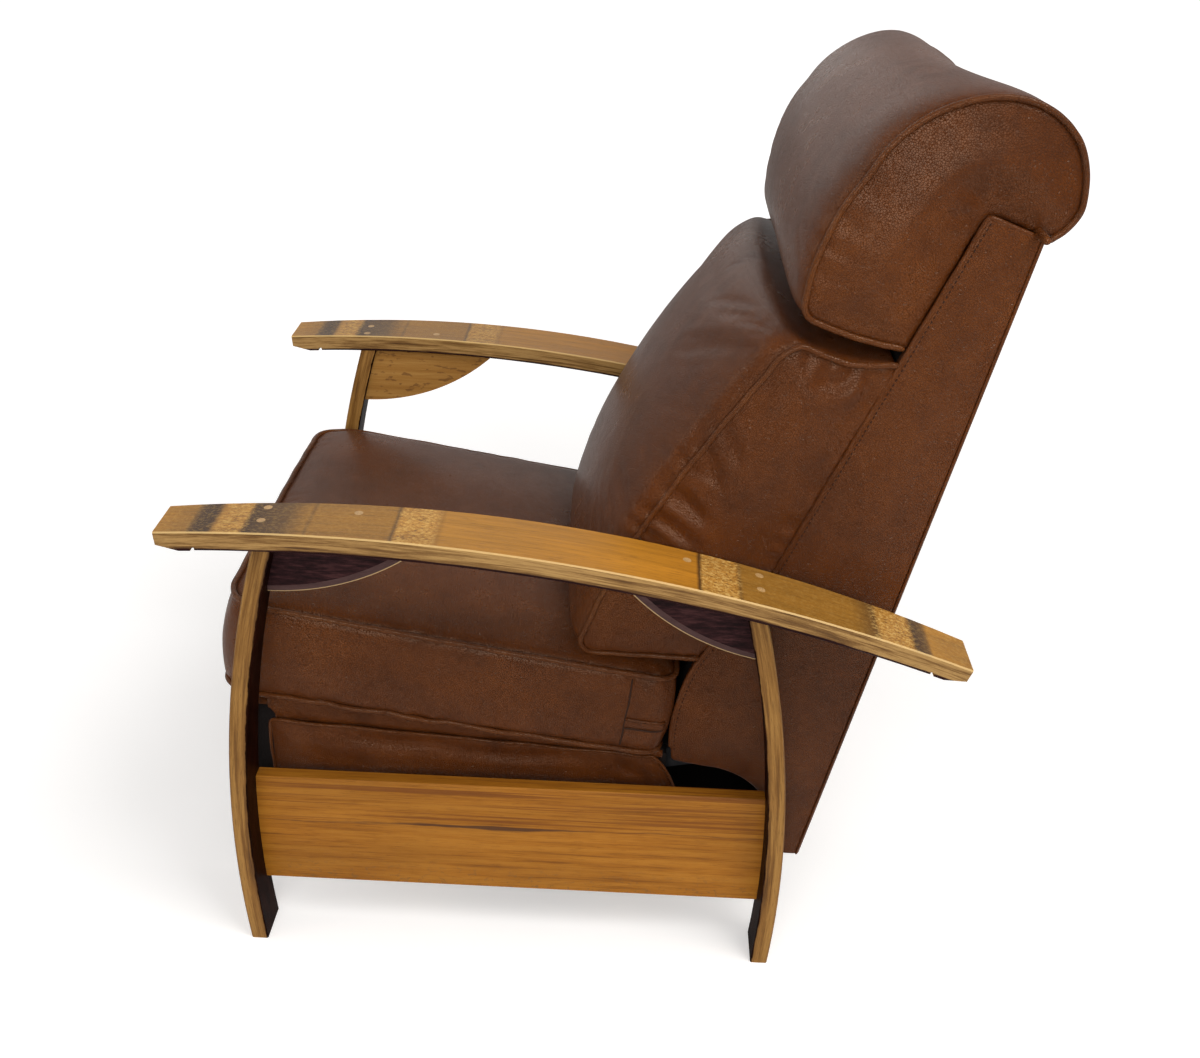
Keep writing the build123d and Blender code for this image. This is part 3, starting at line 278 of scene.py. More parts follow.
# %% Oak for the arms
def arm_finish():
    """Bands along the top, streaky sawn sides, pale eased edges and wine-soaked wood below."""
    finish, tree, shader = new_finish("arm_oak", Specular_IOR_Level=0.25, Specular_Tint=amber)
    bent, radius = bent_grain(tree, -0.3130, -1.4157, upright=False)
    inside_face = 2.0295
    streaks, pores, slow = oak_grain(tree, bent)
    wobble = noise(tree, 55.0, detail=4.0)
    y = plus(spot_place(tree)["Y"], level_of(wobble, 0.2, 0.8, -0.001, 0.001))
    along_arm = level_of(y, -0.5, 0.5)
    golden, warm, dull = (0.40, 0.180, 0.024), (0.43, 0.175, 0.016), (0.295, 0.135, 0.020)
    pale, hoop, black = (0.42, 0.195, 0.034), (0.115, 0.055, 0.016), (0.045, 0.019, 0.008)
    bands = [
        (-0.500, golden), (-0.460, dull), (-0.456, hoop), (-0.448, black), (-0.434, black),
        (-0.427, pale), (-0.397, pale), (-0.394, black), (-0.352, hoop),
        (-0.327, dull), (-0.325, hoop), (-0.323, dull), (-0.229, dull), (-0.2265, hoop),
        (-0.224, pale), (-0.180, pale), (-0.178, hoop), (-0.175, golden),
        (0.118, warm), (0.121, black),
        (0.124, pale), (0.166, pale), (0.169, black), (0.172, dull), (0.300, dull),
        (0.330, hoop), (0.333, pale), (0.370, golden), (0.373, black), (0.390, hoop),
        (0.393, golden), (0.500, dull)]
    band = ramp(along_arm, [(y + 0.5, colour) for y, colour in bands])
    grain = ramp(streaks, [(0.35, 0.74), (0.47, 0.98), (0.6, 1.14), (0.72, 0.98)])
    top = mix(1.0, band, grain, "MULTIPLY")
    worn = [(-0.5, 0.3), (-0.427, 0.3), (-0.424, 1.0), (-0.397, 1.0), (-0.39, 0.25),
            (-0.2265, 0.15), (-0.223, 1.0), (-0.181, 1.0), (-0.178, 0.0), (0.121, 0.0),
            (0.124, 1.0), (0.166, 1.0), (0.170, 0.15), (0.32, 0.15), (0.333, 1.0),
            (0.37, 1.0), (0.376, 0.2), (0.5, 0.5)]
    worn = ramp(along_arm, [(y + 0.5, value) for y, value in worn])
    flecks = noise(tree, 300.0, (1.0, 0.6, 1.0), detail=4.0, roughness=0.75)
    rub = times(level_of(flecks, 0.50, 0.58), worn)
    scuffed, dented, pore, eased_wood = ((0.64, 0.40, 0.125), (0.10, 0.05, 0.022),
                                         (0.10, 0.045, 0.016), (0.62, 0.42, 0.18))
    top = mix(times(rub, 0.8), top, scuffed)
    dents = times(level_of(flecks, 0.44, 0.36), worn)
    top = mix(times(dents, 0.75), top, dented)
    top = mix(level_of(pores, 0.56, 0.66, 0.0, 0.45), top, pore)
    tone = ramp(slow, [(0.3, 0.80), (0.7, 1.12)])
    top = mix(1.0, top, tone, "MULTIPLY")

    sawn = ramp(streaks, [(0.36, (0.045, 0.018, 0.007)), (0.45, (0.165, 0.080, 0.022)),
                          (0.56, (0.40, 0.235, 0.080)), (0.68, (0.13, 0.060, 0.018))])
    wine_stain = ramp(streaks, [(0.3, (0.010, 0.0035, 0.004)), (0.5, (0.022, 0.0065, 0.0070)),
                                (0.75, (0.055, 0.02, 0.018))])
    direction = facing(tree)
    side = maths("ABSOLUTE", direction["X"])
    wood = mix(level_of(side, 0.75, 0.9), top, sawn)
    eased = times(level_of(side, 0.4, 0.6), level_of(direction["Z"], 0.35, 0.6))
    wood = mix(times(eased, 0.8), wood, eased_wood)
    soaked = plus(radius, level_of(streaks, 0.3, 0.7, -0.0015, 0.0015))
    soaked = times(level_of(soaked, inside_face + 0.001, inside_face - 0.001),
                   level_of(side, 0.4, 0.6))
    below = level_of(direction["Z"], -0.15, -0.35)
    wet = maths("MAXIMUM", soaked, below)
    wood = mix(wet, wood, wine_stain)
    wire(shader, {"Base Color": wood,
                  "Roughness": level_of(plus(slow, times(rub, 0.4)), 0.2, 1.1, 0.3, 0.62),
                  "Specular IOR Level": level_of(wet, 0.0, 1.0, 0.25, 0.05)})
    relief(shader, (pores, 0.0005, 0.45), (flecks, 0.0008, 0.4), (streaks, 0.0008, 0.3))
    return finish


put_on(arm_finish(), "arm_left", "arm_right")

# %% [markdown]
# ### Legs, rails, corbels and plugs
#
# The legs are staves on edge: sawn golden sides, and the barrel's inside, dark with wine, on
# their hollow faces. The rails are clean boards with a smoky streak halfway along. The corbels
# came from a barrel head that was wetted by wine on one face, so their outer faces are dark
# and rough, with a smoother lilac border near the rim, and their inner faces are clean oak.

# %% Oak for the legs
def leg_finish(name, stave_centre):
    """Sawn sides with grain that follows the stave's bend, and a wine-dark hollow face."""
    golden = ((0.062, 0.025, 0.007), (0.190, 0.084, 0.018), (0.34, 0.175, 0.045))
    finish, tree, shader, wood = oak_board(name, *golden, 0.42, stave_centre)
    direction = facing(tree)
    inner = level_of(maths("ABSOLUTE", direction["X"]), 0.75, 0.55)
    towards_middle = times(direction["Y"], spot_place(tree)["Y"])
    hollow = times(inner, level_of(towards_middle, 0.0, -0.02))
    radius = bent_grain(tree, *stave_centre, upright=True)[1]
    inside_face = 1.5796
    ragged = noise(tree, 120.0, (1.0, 1.0, 0.3))
    radius = plus(radius, level_of(ragged, 0.35, 0.65, -0.0007, 0.0007))
    hollow = maths("MAXIMUM", hollow, level_of(radius, inside_face + 0.0006, inside_face - 0.0006))
    mottle = noise(tree, 60.0, (1.0, 1.0, 0.4))
    stained = ramp(mottle, [(0.35, (0.004, 0.0008, 0.0006)), (0.65, (0.018, 0.004, 0.002))])
    wire(shader, {"Base Color": mix(hollow, wood, stained),
                  "Specular IOR Level": level_of(hollow, 0.0, 1.0, 0.22, 0.02)})
    return finish


put_on(leg_finish("leg_oak_front", (1.1458, 0.1540)), *both_sides("leg_front"))
put_on(leg_finish("leg_oak_rear", (-1.3473, 0.1390)), *both_sides("leg_rear"))

# %% Oak for the side rails
def rail_finish():
    """Clean oak with fine lines above, ray flecks below and a smoky streak in the middle."""
    golden = ((0.155, 0.052, 0.006), (0.305, 0.110, 0.009), (0.375, 0.150, 0.016))
    finish, tree, shader, wood = oak_board("rail_oak", *golden, 0.4)
    place = spot_place(tree)
    smoke = noise(tree, 30.0, (1.0, 0.12, 1.6), detail=4.0)
    from_middle = maths("ABSOLUTE", maths("SUBTRACT", place["Y"], -0.123))
    thick = level_of(from_middle, 0.140, 0.0, -0.0002, 0.0046)
    rail_low, rail_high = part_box("side_rail_left")
    middle_z = rail_low.z + 0.60 * (rail_high.z - rail_low.z)
    drift = plus(place["Z"], level_of(smoke, 0.3, 0.7, -0.005, 0.005))
    from_line = maths("ABSOLUTE", maths("SUBTRACT", drift, middle_z))
    streak = level_of(maths("SUBTRACT", thick, from_line), -0.0016, 0.0006)
    wood = mix(times(streak, 0.88), wood, (0.055, 0.022, 0.012))
    hairlines = noise(tree, 240.0, (1.0, 0.008, 1.0), detail=2.0)
    upper = level_of(place["Z"], middle_z - 0.01, middle_z + 0.012)
    lines = times(level_of(hairlines, 0.50, 0.60), upper)
    wood = mix(times(lines, 0.75), wood, (0.16, 0.046, 0.006))
    ray = noise(tree, 150.0, (1.0, 0.5, 1.0), detail=2.0, distortion=1.2)
    low = level_of(place["Z"], rail_low.z + 0.045, rail_low.z + 0.01)
    fleck = times(level_of(ray, 0.58, 0.64), low)
    wire(shader, {"Base Color": mix(times(fleck, 0.55), wood, (0.16, 0.08, 0.025))})
    return finish


put_on(rail_finish(), *both_sides("side_rail"))

# %% Oak for the corbels
corbel_rim_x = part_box("corbel_front_left")[1].x - 0.009


def corbel_finish():
    """Rough wine-dark outside, lilac border and pale lip near the rim, clean oak inside."""
    finish, tree, shader = new_finish("corbel_oak", Roughness=0.62, Specular_IOR_Level=0.08)
    streaks, pores = oak_grain(tree)[:2]
    rough_rows = noise(tree, 150.0, (1.0, 0.25, 1.6), detail=5.0, roughness=0.7)
    purple = ramp(rough_rows, [(0.35, (0.009, 0.003, 0.0035)), (0.5, (0.024, 0.0075, 0.0085)),
                               (0.68, (0.060, 0.022, 0.022))])
    clean = ramp(streaks, [(0.2, (0.13, 0.055, 0.015)), (0.45, (0.33, 0.155, 0.035)),
                           (0.7, (0.44, 0.235, 0.065))])
    marks = noise(tree, 150.0, (1.0, 0.4, 1.0), detail=2.0)
    clean = mix(level_of(marks, 0.6, 0.66, 0.0, 0.6), clean, (0.13, 0.055, 0.02))
    rim = ramp(streaks, [(0.25, (0.16, 0.085, 0.04)), (0.7, (0.40, 0.26, 0.13))])
    lilac = ramp(streaks, [(0.25, (0.050, 0.025, 0.024)), (0.7, (0.105, 0.058, 0.055))])
    direction = facing(tree)
    place = spot_place(tree)
    outward = times(direction["X"], maths("SIGN", place["X"]))
    wood = mix(level_of(outward, -0.6, -0.8), rim, clean)
    outside = level_of(outward, 0.1, 0.2)
    wood = mix(outside, wood, lilac)
    depth = maths("ABSOLUTE", place["X"])
    lip = times(level_of(depth, corbel_rim_x + 0.0014, corbel_rim_x + 0.0010), outside)
    wood = mix(lip, wood, (0.50, 0.34, 0.17))
    wire(shader, {"Base Color": mix(level_of(outward, 0.93, 0.99), wood, purple)})
    relief(shader, (rough_rows, 0.0015, 0.6), (pores, 0.0005, 0.3))
    return finish


put_on(corbel_finish(), *both_sides("corbel_front", "corbel_rear"))

# %% End grain for the plugs
def plug_finish():
    finish, tree, shader = new_finish("plug_end_grain", Roughness=0.45)
    cells = add(tree, "TexVoronoi", {"Vector": place_on_object(tree), "Scale": 900.0})
    speckle = ramp(cells.outputs["Distance"],
                   [(0.1, (0.20, 0.10, 0.035)), (0.45, (0.50, 0.30, 0.12))])
    tone = ramp(noise(tree, 60.0), [(0.35, 0.75), (0.65, 1.15)])
    wire(shader, {"Base Color": mix(1.0, speckle, tone, "MULTIPLY")})
    relief(shader, (cells.outputs["Distance"], 0.0004, 0.4))
    return finish


put_on(plug_finish(), "arm_plugs")

# %% [markdown]
# ## What is under the leather
#
# The mechanism is black lacquered flat steel with bright rivets. The hidden boards are plain
# pale wood, the springs are blued wire, and the straps behind the back cushion are woven.
# They show only when the chair is tipped back or seen from below, but they get real surfaces.
# The deck and the two rails next to it wear black lining cloth. Its black is partly painted
# shade: it keeps the gap between the seat cushion and the skirt dark, where the boards would show.

# %% Steel, wire, board and webbing
def metal(name, colour, roughness, spots):
    finish, tree, shader = new_finish(name, Metallic=1.0)
    wear = noise(tree, spots, detail=6.0)
    low = tuple(0.6 * c for c in colour)
    wire(shader, {"Base Color": ramp(wear, [(0.35, low), (0.65, colour)]),
                  "Roughness": level_of(wear, 0.3, 0.7, roughness, roughness + 0.18)})
    relief(shader, (wear, 0.0003, 0.2))
    return finish


def lacquer(name, colour):
    finish, tree, shader = new_finish(name, Specular_IOR_Level=0.18)
    wear = noise(tree, 70.0, detail=6.0)
    bright = tuple(2.4 * c for c in colour)
    wire(shader, {"Base Color": ramp(wear, [(0.35, colour), (0.75, bright)]),
                  "Roughness": level_of(wear, 0.3, 0.7, 0.35, 0.55)})
    relief(shader, (noise(tree, 800.0), 0.0002, 0.3))
    return finish


def webbing():
    finish, tree, shader = new_finish("strap_weave", Roughness=0.85)
    warp, weft = [add(tree, "TexWave", {"Vector": place_on_object(tree), "Scale": 160.0},
                      bands_direction=direction).outputs["Fac"] for direction in "XZ"]
    weave = times(warp, weft)
    wire(shader, {"Base Color": ramp(weave, [(0.1, (0.05, 0.045, 0.04)), (0.8, (0.2, 0.18, 0.15))])})
    relief(shader, (weave, 0.0006, 0.6))
    return finish


def spun(name, size, detail, dark, light, roughness, shine, depth, strength):
    """Lining cloth or thread: a fine fuzz of two dark tones."""
    finish, tree, shader = new_finish(name, Roughness=roughness, Specular_IOR_Level=shine)
    fibres = noise(tree, size, detail=detail)
    wire(shader, {"Base Color": ramp(fibres, [(0.35, dark), light])})
    relief(shader, (fibres, depth, strength))
    return finish


black_steel = lacquer("black_lacquer", (0.012, 0.012, 0.013))
bright_steel = metal("zinc_plate", (0.55, 0.55, 0.53), 0.28, 90.0)
spring_wire = metal("blued_wire", (0.10, 0.11, 0.13), 0.32, 120.0)
pale_wood = oak_board("inner_pine", (0.33, 0.22, 0.11), (0.55, 0.4, 0.22), (0.66, 0.5, 0.3), 0.6)[0]
# Black lining cloth, whose black also paints the shade in the gaps round the seat cushion.
lining_and_painted_shade = spun("black_lining_painted_shade", 700.0, 3.0, (0.004, 0.003, 0.003), (0.7, (0.014, 0.010, 0.009)),
                   0.9, 0.12, 0.0004, 0.5)
put_on(black_steel, "corner_brackets", "swing_tube", "drive_tube", *both_sides(
    "base_rail", "swing_front", "swing_rear", "seat_plate", "drive_link", "reach_link",
    "footrest_bracket", "back_bracket"))
put_on(bright_steel, "arm_screws", "frame_screws", "back_bolts", "base_pins", "seat_pins")
put_on(spring_wire, "seat_springs")
put_on(pale_wood, "stretcher_front", "stretcher_rear", "seat_rail_front", "footrest_board",
       "back_rail_top", "back_rail_bottom")
# Painted shade: the black cloth on the deck, the seat boards and two rails darkens the gap under the
# seat cushion.
put_on(lining_and_painted_shade, "seat_deck", "seat_rail_rear", "back_rail_middle", *both_sides("seat_board"))
put_on(webbing(), "back_straps")

# %% [markdown]
# ## Leather
#
# The leather is chestnut brown with a fine pebble, a dull wax shine and slow changes of tone
# where it is stretched or rubbed. Cells of about two millimetres make the pebble, a finer
# noise breaks them up, and a slow noise shifts the brown. The shine is the shader's own. Its
# reflections are tinted amber, as oiled oak and waxed hide have them under warm light.

# %% Leather and thread
def leather_finish(name, dark, middle, light, roughness):
    finish, tree, shader = new_finish(name, Specular_IOR_Level=0.32, Specular_Tint=amber)
    slow = noise(tree, 5.0, roughness=0.55)
    rub = noise(tree, 38.0, detail=6.0, roughness=0.7)
    tone = plus(times(slow, 0.62), times(rub, 0.38))
    brown = ramp(tone, [(0.30, dark), (0.5, middle), (0.70, light)])
    cells = add(tree, "TexVoronoi", {"Vector": place_on_object(tree), "Scale": 430.0},
                feature="DISTANCE_TO_EDGE")
    valley = level_of(cells.outputs["Distance"], 0.0, 0.12)
    brown = mix(level_of(valley, 0.0, 1.0, 0.6, 0.0), brown, dark)
    wire(shader, {"Base Color": brown,
                  "Roughness": level_of(tone, 0.35, 0.65, roughness + 0.05, roughness - 0.05)})
    fine = noise(tree, 1500.0, detail=2.0)
    crumple = noise(tree, 45.0, detail=4.0, distortion=0.8)
    relief(shader, (valley, 0.0009, 0.8), (fine, 0.0002, 0.3), (crumple, 0.0025, 0.22))
    return finish


leather = leather_finish("chestnut_leather", (0.051, 0.0112, 0.0015), (0.106, 0.0262, 0.0034),
                         (0.162, 0.045, 0.0075), 0.30)
piping_leather = leather_finish("piping_leather", (0.054, 0.0128, 0.0022), (0.112, 0.030, 0.0050),
                                (0.17, 0.053, 0.0110), 0.24)
thread = spun("seam_thread", 1800.0, 2.0, (0.012, 0.005, 0.003), (0.65, (0.045, 0.019, 0.010)),
              0.7, 0.15, 0.0002, 0.4)

# %% [markdown]
# ## Tools of the upholsterer
#
# A cushion starts from its CAD solid, remeshed to even small squares. Cloth pressure then
# swells it, while the rows of points next to the seams are held, so that the sides pull in
# between the corners as a sewn cover does. After that come the marks that sewing leaves:
# short gathers that run away from a welt, and soft folds where the filling gives way.

# %% Points and outlines
def read_vertices(mesh, what):
    flat = np.empty(3 * len(mesh.vertices))
    mesh.vertices.foreach_get(what, flat)
    return flat.reshape(-1, 3)


def mesh_points(mesh):
    return read_vertices(mesh, "co")


def point_normals(mesh):
    return read_vertices(mesh, "normal")


def set_points(mesh, points):
    mesh.vertices.foreach_set("co", points.astype(np.float32).ravel())
    mesh.update()


def push_out(piece, distance):
    """Move each point of a cover outwards, along its normal, by a distance of its own."""
    mesh = piece.data
    set_points(mesh, mesh_points(mesh) + point_normals(mesh) * distance[:, None])


def spaced(points, gap, closed=True):
    """The same line with points at an even distance."""
    line = np.array(points, float)
    if closed:
        line = np.vstack([line, line[:1]])
    steps = np.linalg.norm(np.diff(line, axis=0), axis=1)
    run = np.concatenate([[0.0], np.cumsum(steps)])
    count = max(2, round(run[-1] / gap))
    places = np.linspace(0.0, run[-1], count + 1)
    even = np.column_stack([np.interp(places, run, line[:, i]) for i in range(3)])
    return even[:-1] if closed else even


def rim_of_end(node, direction):
    """The outline of the flat face of a CAD node that lies furthest along a direction."""
    direction = Vector(direction)
    shell = bmesh.new()
    shell.from_mesh(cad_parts[node].data)
    bmesh.ops.remove_doubles(shell, verts=shell.verts, dist=1e-5)
    reach = max(v.co.dot(direction) for v in shell.verts)
    flat = {f for f in shell.faces
            if f.normal.dot(direction) > 0.99 and reach - f.calc_center_median().dot(direction) < 1e-3}
    rim = [e for e in shell.edges if sum(f in flat for f in e.link_faces) == 1]
    after = {}
    for edge in rim:
        a, b = edge.verts
        after.setdefault(a, []).append(b)
        after.setdefault(b, []).append(a)
    start = rim[0].verts[0]
    line, before, here = [start.co.copy()], None, start
    while True:
        ahead = [v for v in after[here] if v is not before]
        before, here = here, ahead[0]
        if here is start:
            break
        line.append(here.co.copy())
    shell.free()
    return [tuple(p) for p in line]


def nearest_on(lines, points):
    """For each point, its distance to the nearest line and its run along it in metres."""
    joined = np.vstack(lines)
    runs = np.concatenate([np.concatenate([[0.0], np.cumsum(
        np.linalg.norm(np.diff(line, axis=0), axis=1))]) for line in lines])
    tree = kdtree.KDTree(len(joined))
    for index, place in enumerate(joined):
        tree.insert(place, index)
    tree.balance()
    found = [tree.find(place) for place in points]
    away = np.array([distance for nearest, index, distance in found])
    return away, runs[[index for nearest, index, distance in found]]


def nearest_index(rim, y, z):
    """The number of the rim's point that lies nearest to a place."""
    rim = np.array(rim)
    return int(np.argmin(np.hypot(rim[:, 1] - y, rim[:, 2] - z)))


def furthest_index(rim, along_y, along_z):
    """The number of the rim's point that lies furthest along a direction."""
    return int(np.argmax(rim[:, 1] * along_y + rim[:, 2] * along_z))


def between(rim, first, last, third, through=False):
    """The points of a closed rim from one number to another.

    They pass on the side without a third number, or with through on the side that has it.
    """
    rim = np.array(rim)
    count = len(rim)
    ahead = [(first + i) % count for i in range((last - first) % count + 1)]
    back = [(first - i) % count for i in range((first - last) % count + 1)]
    return rim[ahead if (third in ahead) == through else back]


def length_of(path):
    return sum(math.dist(a, b) for a, b in zip(path, path[1:]))


# %% Meshes and pieces
def mesh_from(shell, name):
    """The mesh of a shell of points and faces, which is then done with."""
    mesh = bpy.data.meshes.new(name)
    shell.to_mesh(mesh)
    shell.free()
    return mesh


def squares(shell, rows):
    """Put points in rows with a square between each four. Returns the points by row."""
    grid = [[shell.verts.new(Vector(place)) for place in row] for row in rows]
    for near, far in zip(grid, grid[1:]):
        for a, b, c, d in zip(near, near[1:], far[1:], far):
            shell.faces.new((a, b, c, d))
    return grid


def link(name, mesh, body, finish=None):
    """A new piece that rides on a CAD body, when it is given one."""
    piece = bpy.data.objects.new(name, mesh)
    bpy.context.scene.collection.objects.link(piece)
    if body:
        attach(piece, body)
    mesh.materials.clear()
    mesh.materials.append(finish or leather)
    mesh.polygons.foreach_set("use_smooth", [True] * len(mesh.polygons))
    return piece


def applied(piece):
    """Turn a piece and its modifiers into a plain mesh."""
    ready = piece.evaluated_get(bpy.context.evaluated_depsgraph_get())
    mesh = bpy.data.meshes.new_from_object(ready)
    piece.modifiers.clear()
    old = piece.data
    piece.data = mesh
    mesh.name = piece.name
    bpy.data.meshes.remove(old)
    return mesh


def finer(piece):
    smooth = piece.modifiers.new("finer", "SUBSURF")
    smooth.levels = 1
    smooth.render_levels = 1


# %% Stuffing a cover
def even_copy(name, node, body, square, smoothing):
    """A remeshed copy of a CAD solid, in even squares."""
    piece = link(name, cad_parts[node].data.copy(), body)
    remesh = piece.modifiers.new("squares", "REMESH")
    remesh.mode = "VOXEL"
    remesh.voxel_size = square
    remesh.use_smooth_shade = True
    soften = piece.modifiers.new("soften", "SMOOTH")
    soften.factor = 0.5
    soften.iterations = smoothing
    applied(piece)
    return piece


def held_near(lines, points, grip, fade):
    """1 within a grip of the seams, falling to 0 over a fade."""
    away = nearest_on(lines, points)[0]
    return np.clip(1.0 - (away - grip) / fade, 0.0, 1.0)


def swell(piece, held, cap):
    """Blow a cover up with cloth pressure, by no more than a cap. Held is 1 where it stays."""
    start = mesh_points(piece.data)
    steps = 20
    group = piece.vertex_groups.new(name="held")
    for index in np.nonzero(held > 0.01)[0]:
        group.add([int(index)], float(held[index]), "REPLACE")
    cloth = piece.modifiers.new("cover", "CLOTH")
    hide = cloth.settings
    hide.quality = 3
    hide.mass = 0.35
    hide.tension_stiffness = 22.0
    hide.compression_stiffness = 22.0
    hide.bending_stiffness = 1.2
    hide.vertex_group_mass = "held"
    hide.use_pressure = True
    hide.uniform_pressure_force = 4.0
    hide.effector_weights.gravity = 0.0
    cloth.collision_settings.use_collision = False
    cloth.point_cache.frame_start = 1
    cloth.point_cache.frame_end = steps
    scene = bpy.context.scene
    for step in range(1, steps + 1):
        scene.frame_set(step)
    ready = piece.evaluated_get(bpy.context.evaluated_depsgraph_get())
    travel = mesh_points(ready.data) - start
    piece.modifiers.clear()
    piece.vertex_groups.clear()
    scene.frame_set(1)
    length = np.linalg.norm(travel, axis=1)
    limited = cap * np.tanh(length / cap)
    travel *= (limited / np.maximum(length, 1e-9))[:, None]
    set_points(piece.data, start + travel)
    return float(limited.max())


def puff(piece, held, rise):
    """Raise a tightly drawn cover over its thin padding, without a simulation."""
    push_out(piece, rise * (1 - held) ** 2 * (3 - 2 * (1 - held)))


# %% [markdown]
# ### What thread and use do to a cover
#
# Pressure alone gives a balloon. On a real cushion the thread pulls the leather down along a
# seam, the end panels belly out between their seams, use slumps the filling, and soft folds
# run where it gives way. Each of these is a small push of the cover's points, by how far they
# are from a line. Leather that is drawn tight over a board needs no pressure at all. It is a
# skin: a grid between two edges that rises a little in the middle.

# %% Shaping a cover
def moulded(points, *pushes):
    """Points moved by soft pushes across the chair's width.

    A push is (place, shift, width, start, full): the middle of the push and its shift, as
    (y, z), how far it reaches, and the x where it starts and where it has its full depth.
    """
    points = np.array(points, float)
    for place, shift, width, start, full in pushes:
        away = np.hypot(points[:, 1] - place[0], points[:, 2] - place[1])
        across = np.clip((start - points[:, 0]) / (start - full), 0.0, 1.0)
        share = across ** 2 * (3 - 2 * across) * np.exp(-(away / width) ** 2)
        points[:, 1] += share * shift[0]
        points[:, 2] += share * shift[1]
    return points


def drawn_in(piece, lines, depth, width):
    """Sink a cover next to its seams, where the thread pulls it down."""
    away = nearest_on(lines, mesh_points(piece.data))[0]
    push_out(piece, -depth * np.exp(-(away / width) ** 2))


def fuller(piece, lines, rise, width):
    """Let the end panels of a cushion belly outwards between their seams."""
    points = mesh_points(piece.data)
    away = nearest_on(lines, points)[0]
    flat = np.clip(2 * np.abs(point_normals(piece.data)[:, 0]) - 0.6, 0.0, 1.0)
    points[:, 0] += np.sign(points[:, 0]) * rise * flat * (1 - np.exp(-(away / width) ** 2))
    set_points(piece.data, points)


def skin(name, node, body, first, last, rim, outward, depth, rise, across=40, columns=90):
    """A thin padded cover between two edges, as a closed mesh with rounded corners.

    Rows run from the first edge to the last one. The face lies on the solid's own face, it
    rises between the edges, and it turns down over them in a curve of about three millimetres.
    """
    first = spaced(first, 0.001, False)
    last = spaced(last, 0.001, False)
    close = [0.0, 0.004, 0.012, 0.03, 0.06]
    shares = np.array(close + list(np.linspace(0.10, 0.90, across)) + [1 - c for c in close[::-1]])
    ends = [0.0, 0.001, 0.003, 0.006]
    runs = np.array(ends + list(np.linspace(0.012, 0.988, columns)) + [1 - e for e in ends[::-1]])
    near = np.array([first[round(r * (len(first) - 1))] for r in runs])
    far = np.array([last[round(r * (len(last) - 1))] for r in runs])
    flat = near[:, None] + (far - near)[:, None] * shares[None, :, None]
    away = nearest_on([spaced(rim, 0.001)], flat.reshape(-1, 3))[0].reshape(flat.shape[:2])
    corner = 0.003 * (1 - np.sqrt(1 - np.clip(1 - away / 0.004, 0, 1) ** 2))
    lift = rise * (1 - np.exp(-(away / 0.035) ** 2)) - corner
    outward = np.array(outward, float)
    shell = bmesh.new()
    layers = [squares(shell, flat + lift[:, :, None] * outward),
              squares(shell, flat - depth * outward)]
    borders = [grid[0] + [row[-1] for row in grid[1:]] + grid[-1][-2::-1]
               + [row[0] for row in grid[-2:0:-1]] for grid in layers]
    count = len(borders[0])
    for index in range(count):
        after = (index + 1) % count
        shell.faces.new((borders[1][index], borders[1][after], borders[0][after],
                         borders[0][index]))
    bmesh.ops.recalc_face_normals(shell, faces=shell.faces)
    piece = link(name, mesh_from(shell, name), body)
    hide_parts(node)
    return piece


def gathers(piece, lines, depth, reach, spacing, phase, ends_only=False):
    """Small irregular folds that run away from a seam and die out over a reach."""
    away, run = nearest_on(lines, mesh_points(piece.data))
    turn = 2 * math.pi * run
    fold = np.sin(turn / spacing + 1.9 * np.sin(turn / (3.3 * spacing) + phase) + phase)
    patch = np.clip(0.35 + np.sin(turn / (9.1 * spacing) + 2.3 * phase), 0.0, 1.0)
    near = np.exp(-(away / reach) ** 2) * (1 - np.exp(-(away / 0.005) ** 2))
    shift = depth * (fold - 0.4) * patch * near
    if ends_only:
        shift *= np.clip(2.5 * np.abs(point_normals(piece.data)[:, 0]) - 1.0, 0.0, 1.0)
    push_out(piece, shift)


def creases(piece, *folds):
    """Press soft lines into a cover. Each fold is (points, depth, width)."""
    for line, depth, width in folds:
        even = spaced(line, 0.004, closed=False)
        away, run = nearest_on([even], mesh_points(piece.data))
        total = np.linalg.norm(np.diff(even, axis=0), axis=1).sum()
        ends = np.sin(np.pi * np.clip(run / total, 0.0, 1.0)) ** 0.5
        groove = -np.exp(-(away / width) ** 2) + 0.35 * np.exp(-((away - 2 * width) / width) ** 2)
        push_out(piece, depth * groove * ends)


# %% [markdown]
# ### Welts and stitches
#
# A welt is a cord in a strip of leather, sewn into a seam. It is a round tube along the seam
# with a slightly uneven run. A seam without a cord shows as a row of short stitches, sunk
# into the leather. Both are built as meshes along the lines that the covers are held by.

# %% Welts and stitches
cord = 0.0040  # radius of a piped cushion welt


